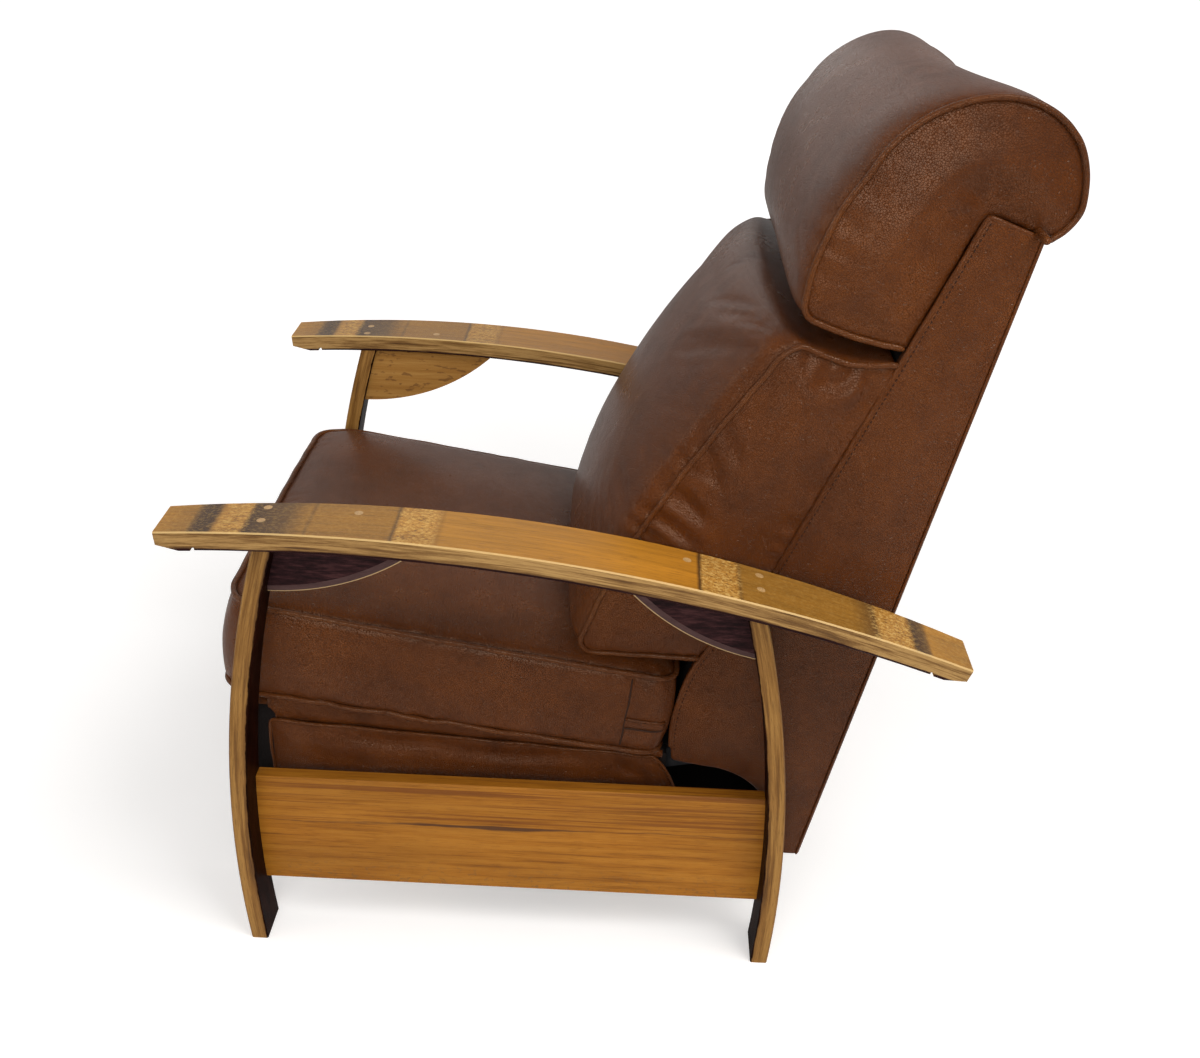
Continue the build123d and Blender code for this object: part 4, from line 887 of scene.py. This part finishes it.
def tube(name, line, radius, body, closed=True, finish=None, waver=0.0):
    """A round tube along a line of points, in a frame that doesn't twist."""
    path = np.array(line, float)
    count = len(path)
    facets = 8
    if waver:
        run = np.arange(count) * 0.37
        path = path + waver * np.column_stack([np.sin(run), np.sin(1.3 * run + 1), np.cos(0.8 * run)])
    shell = bmesh.new()
    rings = []
    ahead = (np.roll(path, -1, 0) - np.roll(path, 1, 0)) if closed else np.gradient(path, axis=0)
    side = Vector(ahead[0]).orthogonal().normalized()
    for index in range(count):
        along = Vector(ahead[index]).normalized()
        side = (side - along * side.dot(along)).normalized()
        across = along.cross(side)
        ring = []
        for k in range(facets):
            angle = k * 2 * math.pi / facets
            offset = radius * (math.cos(angle) * side + math.sin(angle) * across)
            ring.append(shell.verts.new(Vector(path[index]) + offset))
        rings.append(ring)
    pairs = [(i, i + 1) for i in range(count - 1)] + ([(count - 1, 0)] if closed else [])
    turn = 0
    if closed:
        gap = [(rings[0][k].co - rings[-1][0].co).length for k in range(facets)]
        turn = gap.index(min(gap))
    for a, b in pairs:
        shift = turn if b == 0 else 0
        for k in range(facets):
            n = (k + 1) % facets
            shell.faces.new((rings[a][k], rings[a][n], rings[b][(n + shift) % facets],
                             rings[b][(k + shift) % facets]))
    if not closed:
        shell.faces.new(rings[0][::-1])
        shell.faces.new(rings[-1])
    bmesh.ops.recalc_face_normals(shell, faces=shell.faces)
    piece = link(name, mesh_from(shell, name), body, finish or piping_leather)
    finer(piece)
    return piece


def stitches(name, line, body, length=0.0045, pitch=0.0062, radius=0.0005):
    """A row of short thread stitches along a line on the leather."""
    places = spaced(line, pitch, closed=False)
    shell = bmesh.new()
    for place, along in zip(places, np.gradient(places, axis=0)):
        turn = Vector(along).to_track_quat("Z", "Y").to_matrix().to_4x4()
        shape = Matrix.Translation(Vector(place)) @ turn @ Matrix.Diagonal(
            (radius, radius, length / 2, 1.0))
        bmesh.ops.create_icosphere(shell, subdivisions=2, radius=1.0, matrix=shape)
    return link(name, mesh_from(shell, name), body, thread)


def laid_on(piece, line, lift):
    """The line moved onto a cover, and raised from it by a lift."""
    surface = bvhtree.BVHTree.FromObject(piece, bpy.context.evaluated_depsgraph_get())
    laid = []
    for place in np.array(line, float):
        near, normal = surface.find_nearest(Vector(place))[:2]
        laid.append(near + normal * lift)
    laid = np.array(laid)
    laid[1:-1] = 0.25 * laid[:-2] + 0.5 * laid[1:-1] + 0.25 * laid[2:]
    return laid


def strip(name, rows, body, thickness, finish):
    """A sheet of cloth or leather through rows of points."""
    shell = bmesh.new()
    squares(shell, rows)
    piece = link(name, mesh_from(shell, name), body, finish)
    solid = piece.modifiers.new("thickness", "SOLIDIFY")
    solid.thickness = thickness
    solid.offset = 0.0
    applied(piece)
    return piece


# %% [markdown]
# ## The seat cushion
#
# The seat is a box cushion: a top and a bottom panel, joined by a strip of boxing with a welt
# along both edges. It slopes down to the rear by the seat's tilt. Its two welt lines follow
# a rounded outline, so they are worked out from the same few sizes as the solid. The top
# panel may rise most, and the boxing bellies out between its welts. In the picture the nose
# stands a little further forward, so cover and seams are drawn forwards together.

# %% Seat cushion
sides = (("left", 1), ("right", -1))
seat_tilt = math.radians(7.6)
seat_run = 0.559
seat_length = seat_run / math.cos(seat_tilt)
seat_rear_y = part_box("seat_deck")[1].y
seat_front_y = seat_rear_y - seat_run
front_height, rear_height = 0.134, 0.120
seat_taper = (rear_height - front_height) / seat_length
seam_inset = 0.004


def under_cushion(y):
    """Height of the cushion's underside at a place along Y."""
    return 0.279 + (seat_rear_y - y) * math.tan(seat_tilt)


def seat_outline(z, rise, inset):
    """A rounded outline at height z above the cushion's underside, as points on the chair."""
    half, front, rear = 0.274 - inset, inset, seat_length - inset
    corners = ((half, front, 0.044, -90), (half, rear, 0.026, 0),
               (-half, rear, 0.026, 90), (-half, front, 0.044, 180))
    outline = []
    for x, y, radius, start in corners:
        centre = (x - math.copysign(radius, x), y + (radius if y == front else -radius))
        for step in range(9):
            angle = math.radians(start + step * 90 / 8)
            outline.append((centre[0] + radius * math.cos(angle),
                            centre[1] + radius * math.sin(angle), 0.0))
    outline = spaced(outline, 0.005)
    bow = 1 + 0.0025 / half * np.cos(np.pi * (outline[:, 1] / seat_length - 0.5))
    along, height = outline[:, 1], z + rise * outline[:, 1]
    c, s = math.cos(seat_tilt), math.sin(seat_tilt)
    return np.column_stack([outline[:, 0] * bow, seat_front_y + along * c + height * s,
                            under_cushion(seat_front_y) - along * s + height * c])


def further_forward(points, edge, reach, shift):
    """Draw what lies in front of an edge forwards, by up to a shift at the very front."""
    points = np.array(points)
    share = np.clip((edge - points[:, 1]) / reach, 0.0, 1.0)
    return points - np.outer(share ** 2, (0.0, shift, 0.0))


nose = (seat_front_y + 0.12, 0.11, 0.017)
seat_top_seam = further_forward(seat_outline(front_height, seat_taper, seam_inset), *nose)
seat_low_seam = further_forward(seat_outline(0.001, 0.0, seam_inset), *nose)
seat_seams = [seat_top_seam, seat_low_seam]
print("seat top seam runs", round(len(seat_top_seam) * 0.005, 2), "m")

seat = even_copy("seat_cushion_cover", "seat_cushion", "seat", 0.007, 3)
seat_points = further_forward(mesh_points(seat.data), *nose)
set_points(seat.data, seat_points)
seat_held = held_near(seat_seams, seat_points, 0.004, 0.045)
seat_held = np.maximum(seat_held, np.clip(-point_normals(seat.data)[:, 2] * 2 - 0.6, 0, 1))
seat_travel = swell(seat, seat_held, 0.013)
print("seat cushion swelled by up to", round(1000 * seat_travel), "mm")
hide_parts("seat_cushion")
gathers(seat, [seat_top_seam], 0.0016, 0.028, 0.031, 0.7)
gathers(seat, [seat_low_seam], 0.0018, 0.030, 0.052, 2.1)
drawn_in(seat, seat_seams, 0.0022, 0.008)

# %% Seams and the zip flap in the seat's boxing
closing_y = 0.0365


def on_boxing(y, share):
    """A place on the left boxing, at a share of the height from the lower to the upper welt."""
    height = (front_height + seat_taper * (y - seat_front_y)) * share
    return (0.276, y + height * math.sin(seat_tilt), under_cushion(y) + height)


for side, outward in sides:
    mirrored = np.array((outward, 1, 1))
    upright = mirrored * [on_boxing(closing_y, k / 20) for k in range(1, 20)]
    flap_high, flap_low = [mirrored * [on_boxing(closing_y + k * 0.005, share) for k in range(12)]
                           for share in (0.47, 0.36)]
    creases(seat, (upright, 0.0022, 0.003), (flap_high, 0.0012, 0.0035), (flap_low, 0.0032, 0.0035))
    tube("boxing_seam_" + side, laid_on(seat, upright, 0.0), 0.0013, "seat", closed=False,
         finish=thread)
    flap_rows = [laid_on(seat, flap_high + (flap_low - flap_high) * k / 4, 0.0012)
                 for k in range(5)]
    flap = strip("zip_flap_" + side, flap_rows, "seat", 0.0016, leather)
    # Painted shade: a dark tube of thread finish along the flap's lower lip stands in for the shaded
    # slot of the zip.
    tube("zip_slit_painted_shade_" + side, laid_on(seat, flap_low - (0, 0, 0.0022), 0.0004), 0.0014, "seat",
         closed=False, finish=thread)
    flap_row = laid_on(seat, flap_high + (0, 0, -0.003), 0.0022)
    stitches("zip_stitches_" + side, flap_row, "seat", length=0.003, pitch=0.0042)
finer(seat)
tube("seat_welt_top", laid_on(seat, seat_top_seam, 0.0030), cord + 0.0002, "seat", waver=0.0003)
tube("seat_welt_bottom", laid_on(seat, seat_low_seam, 0.0028), cord, "seat", waver=0.0008)

# %% [markdown]
# ## The back cushion and the headrest
#
# Both are pillows across the chair's width with welted ends. The end panels are nearly flat,
# and the middle swells forward out of them. The welt runs round each end, so the outlines of
# the two end faces are read from the solid's own mesh and hold the cover while it swells.
# Where an end meets the frame there is no cord, only a plain seam. The headrest's middle has
# slumped with use, so its points and its seams are moulded together.

# %% Back cushion
def end_seams(node):
    """The seams round the left and the right end of a cushion."""
    return [spaced(rim_of_end(node, (outward, 0, 0)), 0.005) for outward in (1, -1)]


back_seams = end_seams("back_cushion")
back = even_copy("back_cushion_cover", "back_cushion", "back", 0.006, 2)
back_held = held_near(back_seams, mesh_points(back.data), 0.003, 0.04)
back_held = np.maximum(back_held, np.clip(point_normals(back.data)[:, 1] * 2 - 0.6, 0, 1))
back_travel = swell(back, back_held, 0.014)
print("back cushion swelled by up to", round(1000 * back_travel), "mm")
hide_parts("back_cushion")
fuller(back, back_seams, 0.012, 0.040)
gathers(back, back_seams, 0.0020, 0.03, 0.033, 1.3, ends_only=True)
drawn_in(back, back_seams, 0.0018, 0.007)
back_folds = (
    ([(0.104, 0.731), (0.120, 0.712), (0.141, 0.672)], 0.0042, 0.0075),
    ([(0.071, 0.667), (0.100, 0.649), (0.135, 0.620)], 0.0040, 0.0080),
    ([(0.056, 0.636), (0.090, 0.615), (0.132, 0.584)], 0.0034, 0.0075),
    ([(0.138, 0.748), (0.152, 0.723), (0.161, 0.695)], 0.0026, 0.0065),
    ([(0.028, 0.590), (0.062, 0.570), (0.094, 0.548)], 0.0026, 0.0070),
    ([(0.290, 0.822), (0.301, 0.800), (0.296, 0.770)], 0.0050, 0.0090),
    ([(0.284, 0.812), (0.258, 0.800), (0.236, 0.806)], 0.0040, 0.0080),
    ([(0.312, 0.818), (0.300, 0.790), (0.272, 0.752)], 0.0026, 0.0080))
for x in (0.266, -0.266):
    creases(back, *[([(x, y, z) for y, z in line], depth, width)
                    for line, depth, width in back_folds])
creases(back, ([(0.16, 0.152, 0.842), (0.04, 0.130, 0.835), (-0.08, 0.135, 0.838)], 0.002, 0.016))
finer(back)
for side, seam in zip(("left", "right"), back_seams):
    line = between(seam, furthest_index(seam, 1.0, -1.0), furthest_index(seam, 1.0, 0.2),
                   furthest_index(seam, -1.0, 0.0), through=True)
    tube("back_cushion_welt_" + side, laid_on(back, line, 0.0028), cord, "back",
         closed=False, waver=0.0005)

# %% Headrest
head_seams = end_seams("headrest")
head = even_copy("headrest_cover", "headrest", "back", 0.006, 2)
head_held = held_near(head_seams, mesh_points(head.data), 0.003, 0.04)
head_travel = swell(head, head_held, 0.012)
print("headrest swelled by up to", round(1000 * head_travel), "mm")
slump = [((0.462, 1.083), (-0.023, -0.035), 0.075, 0.25, 0.0),
         ((0.262, 1.030), (-0.010, 0.004), 0.090, 0.15, -0.10)]
set_points(head.data, moulded(mesh_points(head.data), *slump))
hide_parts("headrest")
head_seams = [moulded(seam, *slump) for seam in head_seams]
fuller(head, head_seams, 0.015, 0.050)
gathers(head, head_seams, 0.0010, 0.03, 0.043, 0.4)
drawn_in(head, head_seams, 0.0018, 0.007)
head_folds = (
    ([(0.365, 1.028), (0.384, 1.012), (0.398, 0.992)], 0.0034, 0.0080),
    ([(0.352, 0.992), (0.378, 0.990), (0.398, 0.984)], 0.0028, 0.0070),
    ([(0.402, 1.030), (0.408, 1.012), (0.409, 0.996)], 0.0026, 0.0070),
    ([(0.420, 1.000), (0.440, 0.986), (0.456, 0.974)], 0.0026, 0.0070))
for x in (0.262, -0.262):
    creases(head, *[([(x, y, z) for y, z in line], depth, width)
                    for line, depth, width in head_folds])
crown_folds = []
for x, reach in ((0.000, 0.06), (-0.022, 0.085), (-0.040, 0.07)):
    fold = [(x, 0.448, 1.058), (x - 0.4 * reach, 0.420, 1.080), (x - reach, 0.385, 1.097)]
    crown_folds.append((laid_on(head, fold, 0.0), 0.0038, 0.008))
creases(head, *crown_folds)
finer(head)
for side, seam in zip(("left", "right"), head_seams):
    rear_foot, heel = nearest_index(seam, 0.3184, 0.8411), nearest_index(seam, 0.4717, 0.9692)
    line = between(seam, rear_foot, heel, nearest_index(seam, 0.3998, 0.9915))
    line = laid_on(head, line, 0.0028)
    before, after = line[0] - line[4], line[-1] - line[-5]
    line = [line[0] + before * 0.016 / np.linalg.norm(before), *line,
            line[-1] + after * 0.008 / np.linalg.norm(after)]
    tube("headrest_welt_" + side, line, cord, "back", closed=False, waver=0.0003)

# %% [markdown]
# ## Sides, back and skirts
#
# The frame of the back wears leather over thin padding: two side panels and one outside back.
# They are drawn tight, so each is a skin that rises by a few millimetres between its edges.
# The side panels are topstitched along their front edge, where the ends of the cushion and
# of the headrest are sewn to them. A welt under the headrest closes the outside back.

# %% Side panels of the back
for side, outward in sides:
    node = "back_panel_" + side
    rim = rim_of_end(node, (outward, 0, 0))
    foot_front = nearest_index(rim, 0.265, 0.120)
    top_front = nearest_index(rim, 0.400, 0.991)
    top_rear = nearest_index(rim, 0.458, 0.969)
    foot_rear = nearest_index(rim, 0.280, 0.120)
    front = between(rim, foot_front, top_front, top_rear)
    rear = between(rim, foot_rear, top_rear, top_front)
    panel = skin("back_side_" + side, node, "back", front, rear, rim, (outward, 0, 0),
                 0.022, 0.0045, across=34, columns=150)
    finer(panel)
    fold = spaced(front, 0.005, False)
    fold = fold[(fold[:, 2] > 0.285) & ((fold[:, 1] < 0.20) | (fold[:, 2] > 0.45))]
    fold = np.vstack([fold, [rim[top_rear]]])
    tube("side_seam_" + side, spaced(fold, 0.005, False) - (outward * 0.0035, 0.0, 0.0), 0.0036,
         "back", closed=False, finish=leather, waver=0.0003)
    row = laid_on(panel, spaced(fold[:-1], 0.004, False) + (0, 0.0045, 0), 0.0001)
    stitches("side_stitches_" + side, row, "back", length=0.0036, pitch=0.0062, radius=0.0008)
    print("side panel", side, "seam of", round(fold[-1, 2] - fold[0, 2], 2), "m upright")

# %% Outside back
corners = sorted({(round(v.co.y, 4), round(v.co.z, 4))
                  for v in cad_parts["back_cover"].data.vertices})
foot_out, top_out = corners[1::2]
half_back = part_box("back_cover")[1].x
left_edge = [(half_back, *foot_out), (half_back, *top_out)]
right_edge = [(-half_back, *foot_out), (-half_back, *top_out)]
slope = Vector((0, top_out[0] - foot_out[0], top_out[1] - foot_out[1])).normalized()
back_rim = left_edge + right_edge[::-1]
outside = skin("outside_back", "back_cover", "back", left_edge, right_edge, back_rim,
               (0, slope.z, -slope.y), 0.0049, 0.0040, across=48, columns=80)
finer(outside)
tube("outside_back_welt", [(x, 0.4540, 0.9762) for x in np.linspace(0.293, -0.293, 60)],
     0.0052, "back", closed=False, waver=0.0003)

# %% [markdown]
# ### Skirts, the bands above them and the footrest pad
#
# A skirt of soft leather hangs beside the mechanism on each side, with a welt round its edge
# and slack folds near the top. Above it a plain band of the same leather wraps the side of
# the deck, and one upright seam closes that band near the front. The footrest is folded up
# below the seat's nose. Its pad stands out in front of its board, with black cloth at its ends.


for side, outward in sides:
    node = "seat_skirt_" + side
    rim = rim_of_end(node, (outward, 0, 0))
    front_high, front_low = nearest_index(rim, -0.399, 0.301), nearest_index(rim, -0.399, 0.190)
    rim = further_forward(rim, -0.34, 0.059, 0.020)
    seam = spaced(rim, 0.005)
    rear_high, rear_low = nearest_index(rim, 0.081, 0.270), nearest_index(rim, 0.112, 0.190)
    high = between(rim, front_high, rear_high, front_low)
    rear = between(rim, rear_high, rear_low, front_low)
    low = between(rim, front_low, rear_low, front_high)
    skirt = skin("skirt_cover_" + side, node, "seat", np.vstack([high, rear[1:9]]),
                 np.vstack([low, rear[:8:-1]]), rim, (outward, 0, 0), 0.0042, 0.0065,
                 across=30, columns=110)
    x = outward * 0.262
    creases(skirt, ([(x, -0.33, 0.283), (x, -0.26, 0.274), (x, -0.16, 0.276)], 0.0035, 0.009),
            ([(x, -0.20, 0.268), (x, -0.10, 0.262), (x, -0.01, 0.266)], 0.0030, 0.008),
            ([(x, -0.38, 0.262), (x, -0.34, 0.247), (x, -0.28, 0.243)], 0.0022, 0.010),
            ([(x, 0.03, 0.258), (x, 0.07, 0.240), (x, 0.09, 0.215)], 0.0025, 0.008))
    finer(skirt)
    tube("skirt_welt_" + side, laid_on(skirt, seam, 0.0012), 0.0026, "seat", waver=0.0006)

    places = np.linspace(-0.4188, 0.0940, 87)
    rows = []
    for share in (0.0, 0.35, 0.7, 1.0):
        row = []
        for y in places:
            low = np.interp(y, (-0.3988, 0.0812), (0.2975, 0.2665))
            high = under_cushion(y) - 0.0006
            fold = 0.0011 * math.sin(math.pi * share) * (1.3 + math.sin(70 * y + 2.1 * share))
            row.append((outward * (0.2524 + fold), y, low + share * (high - low)))
        rows.append(row)
    band = strip("deck_band_" + side, rows, "seat", 0.0012, leather)
    band_seam = [(outward * 0.2532, -0.272, 0.292), (outward * 0.2532, -0.270, 0.324)]
    stitches("deck_band_seam_" + side, laid_on(band, spaced(band_seam, 0.003, False), 0.0002),
             "seat")

# %% Footrest pad
pad = even_copy("footrest_pad_cover", "footrest_pad", "footrest", 0.004, 2)
pad_points = mesh_points(pad.data)
pad_front = spaced([(x, pad_points[:, 1].min(), z) for x, z in (
    (-0.235, 0.197), (0.235, 0.197), (0.235, 0.303), (-0.235, 0.303))], 0.005)
pad_held = np.clip(0.4 + 2 * point_normals(pad.data)[:, 1], 0, 1)
puff(pad, np.maximum(pad_held, held_near([pad_front], pad_points, 0.004, 0.03)), 0.006)
pad_points = mesh_points(pad.data)
front_share = np.clip((-0.405 - pad_points[:, 1]) / 0.010, 0.0, 1.0)
top_share = np.clip((pad_points[:, 2] - 0.20) / 0.11, 0.0, 1.0)
pad_points = pad_points - np.outer(front_share, (0.0, 0.024, 0.0))
set_points(pad.data, pad_points + np.outer(top_share, (0.0, 0.0, 0.015)))
pad.data.materials.append(lining_and_painted_shade)
pad_end_x = 0.2530
for face in pad.data.polygons:
    if abs(face.center.x) > pad_end_x:
        face.material_index = 1
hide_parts("footrest_pad")
finer(pad)

# %% [markdown]
# ## Linings
#
# Black lining cloth closes what would show between the leather pieces: one piece is tacked
# across the front of the back frame, behind the cushion. Another hangs from the rear rail of
# the seat to the foot of the back.
# It is hung high and cut narrower than the seat, so that it clears the base rails and the
# rear stretcher when the chair lies back.

# %% Linings
panel_rim = np.array(rim_of_end("back_panel_left", (1, 0, 0)))
rim_y = np.append(panel_rim[:, 1], panel_rim[0, 1])
rim_z = np.append(panel_rim[:, 2], panel_rim[0, 2])
lining_path = []
for z in np.linspace(0.300, 0.796, 40):
    crossings = []
    for ya, yb, za, zb in zip(rim_y, rim_y[1:], rim_z, rim_z[1:]):
        if (za - z) * (zb - z) <= 0 and za != zb:
            crossings.append(ya + (yb - ya) * (z - za) / (zb - za))
    lining_path.append((min(crossings) + 0.0045, z))

rows = [[(x, y, z) for x in np.linspace(-0.2365, 0.2365, 12)] for y, z in lining_path]
back_lining = strip("back_lining", rows, "back", 0.001, lining_and_painted_shade)


def curve_through(places, parts=4):
    """A smooth curve through places, with a few points from each place to the next."""
    curve = []
    last = len(places) - 1
    for index in range(last):
        before, a, b, after = [np.array(places[min(max(index + k, 0), last)]) for k in (-1, 0, 1, 2)]
        for part in range(parts):
            t = part / parts
            bend = (2 * a + (b - before) * t + (2 * before - 5 * a + 4 * b - after) * t ** 2
                    + (3 * (a - b) + after - before) * t ** 3)
            curve.append(tuple(0.5 * bend))
    return curve + [places[-1]]


rail_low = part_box("seat_rail_rear")[0]
foot_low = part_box("back_rail_bottom")[0]
pull_start = Vector((0, rail_low.y + 0.006, rail_low.z - 0.001))
pull_end = Vector((0, foot_low.y - 0.001, foot_low.z + 0.012))
pull_line = [(pull_start.y, pull_start.z), (0.094, 0.205), (0.101, 0.178), (0.120, 0.160),
             (0.150, 0.153), (0.187, 0.150), (0.225, 0.148), (pull_end.y, pull_end.z)]
pull_path = curve_through(pull_line)
rows = [[(x, y, z) for x in np.linspace(-0.190, 0.190, 12)] for y, z in pull_path]
pull_cloth = strip("pull_cloth", rows, None, 0.001, lining_and_painted_shade)
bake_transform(pull_cloth)
print("pull cloth", round(length_of(pull_path), 3), "m long")

# %% [markdown]
# ## Floor and light
#
# The picture has a white ground and soft light from all round, stronger from above and
# behind on the near side. A wide pale floor carries the shadow and also glows faintly for
# the camera alone, so that the ground turns white and the leather gets no extra light. Rays
# that mirror off the wax see a slightly brighter room than the others, which gives the
# leather its sheen without paling its brown.

# %% Floor, world and lamps
def pale_floor():
    finish, tree, shader = new_finish("pale_floor", Roughness=0.9, Specular_IOR_Level=0.1)
    tones = ramp(noise(tree, 3.0), [(0.3, (0.80, 0.795, 0.79)), (0.7, (0.83, 0.825, 0.82))])
    wire(shader, {"Base Color": tones})
    seen = add(tree, "LightPath").outputs["Is Camera Ray"]
    away = add(tree, "VectorMath", {0: place_on_object(tree)}, operation="LENGTH").outputs["Value"]
    strength = times(seen, level_of(away, 0.7, 4.0, 0.36, 0.85))
    glow = add(tree, "Emission", {"Color": (1.0, 0.985, 0.98, 1.0), "Strength": strength})
    both = add(tree, "AddShader", {0: shader.outputs["BSDF"], 1: glow.outputs["Emission"]})
    wire(tree.nodes["Material Output"], {"Surface": both.outputs["Shader"]})
    return finish


floor_shape = bmesh.new()
bmesh.ops.create_grid(floor_shape, x_segments=8, y_segments=8, size=16.0)
floor = bpy.data.objects.new("floor", mesh_from(floor_shape, "floor"))
floor.data.materials.append(pale_floor())
bpy.context.scene.collection.objects.link(floor)

world = bpy.data.worlds.new("studio")
bpy.context.scene.world = world
world.use_nodes = True
world_tree = world.node_tree
sky = world_tree.nodes["Background"]
rays = add(world_tree, "LightPath").outputs
room = plus(times(rays["Is Glossy Ray"], 0.16), 0.34)
strength = mix(rays["Is Camera Ray"], room, (1.0, 1.0, 1.0))
wire(sky, {"Color": (1.0, 0.99, 0.98, 1.0), "Strength": strength})


def lamp(name, place, aim, size, power):
    light = bpy.data.lights.new(name, "AREA")
    light.energy = power
    light.size = size
    light.color = (1.0, 0.985, 0.965)
    obj = bpy.data.objects.new(name, light)
    bpy.context.scene.collection.objects.link(obj)
    obj.location = place
    obj.rotation_euler = (Vector(aim) - Vector(place)).to_track_quat("-Z", "Y").to_euler()


lamp("window_front", (0.4, -2.8, 2.3), (0.0, 0.0, 0.6), 2.2, 18.0)
lamp("ceiling", (1.3, 1.5, 3.0), (0.0, 0.0, 0.5), 1.8, 64.0)
lamp("side_fill", (3.2, -0.2, 1.8), (0.0, 0.0, 0.5), 2.0, 50.0)
lamp("far_wall", (-3.0, -0.8, 2.3), (0.0, 0.0, 0.7), 2.6, 10.0)
bpy.context.scene.view_settings.view_transform = "Standard"
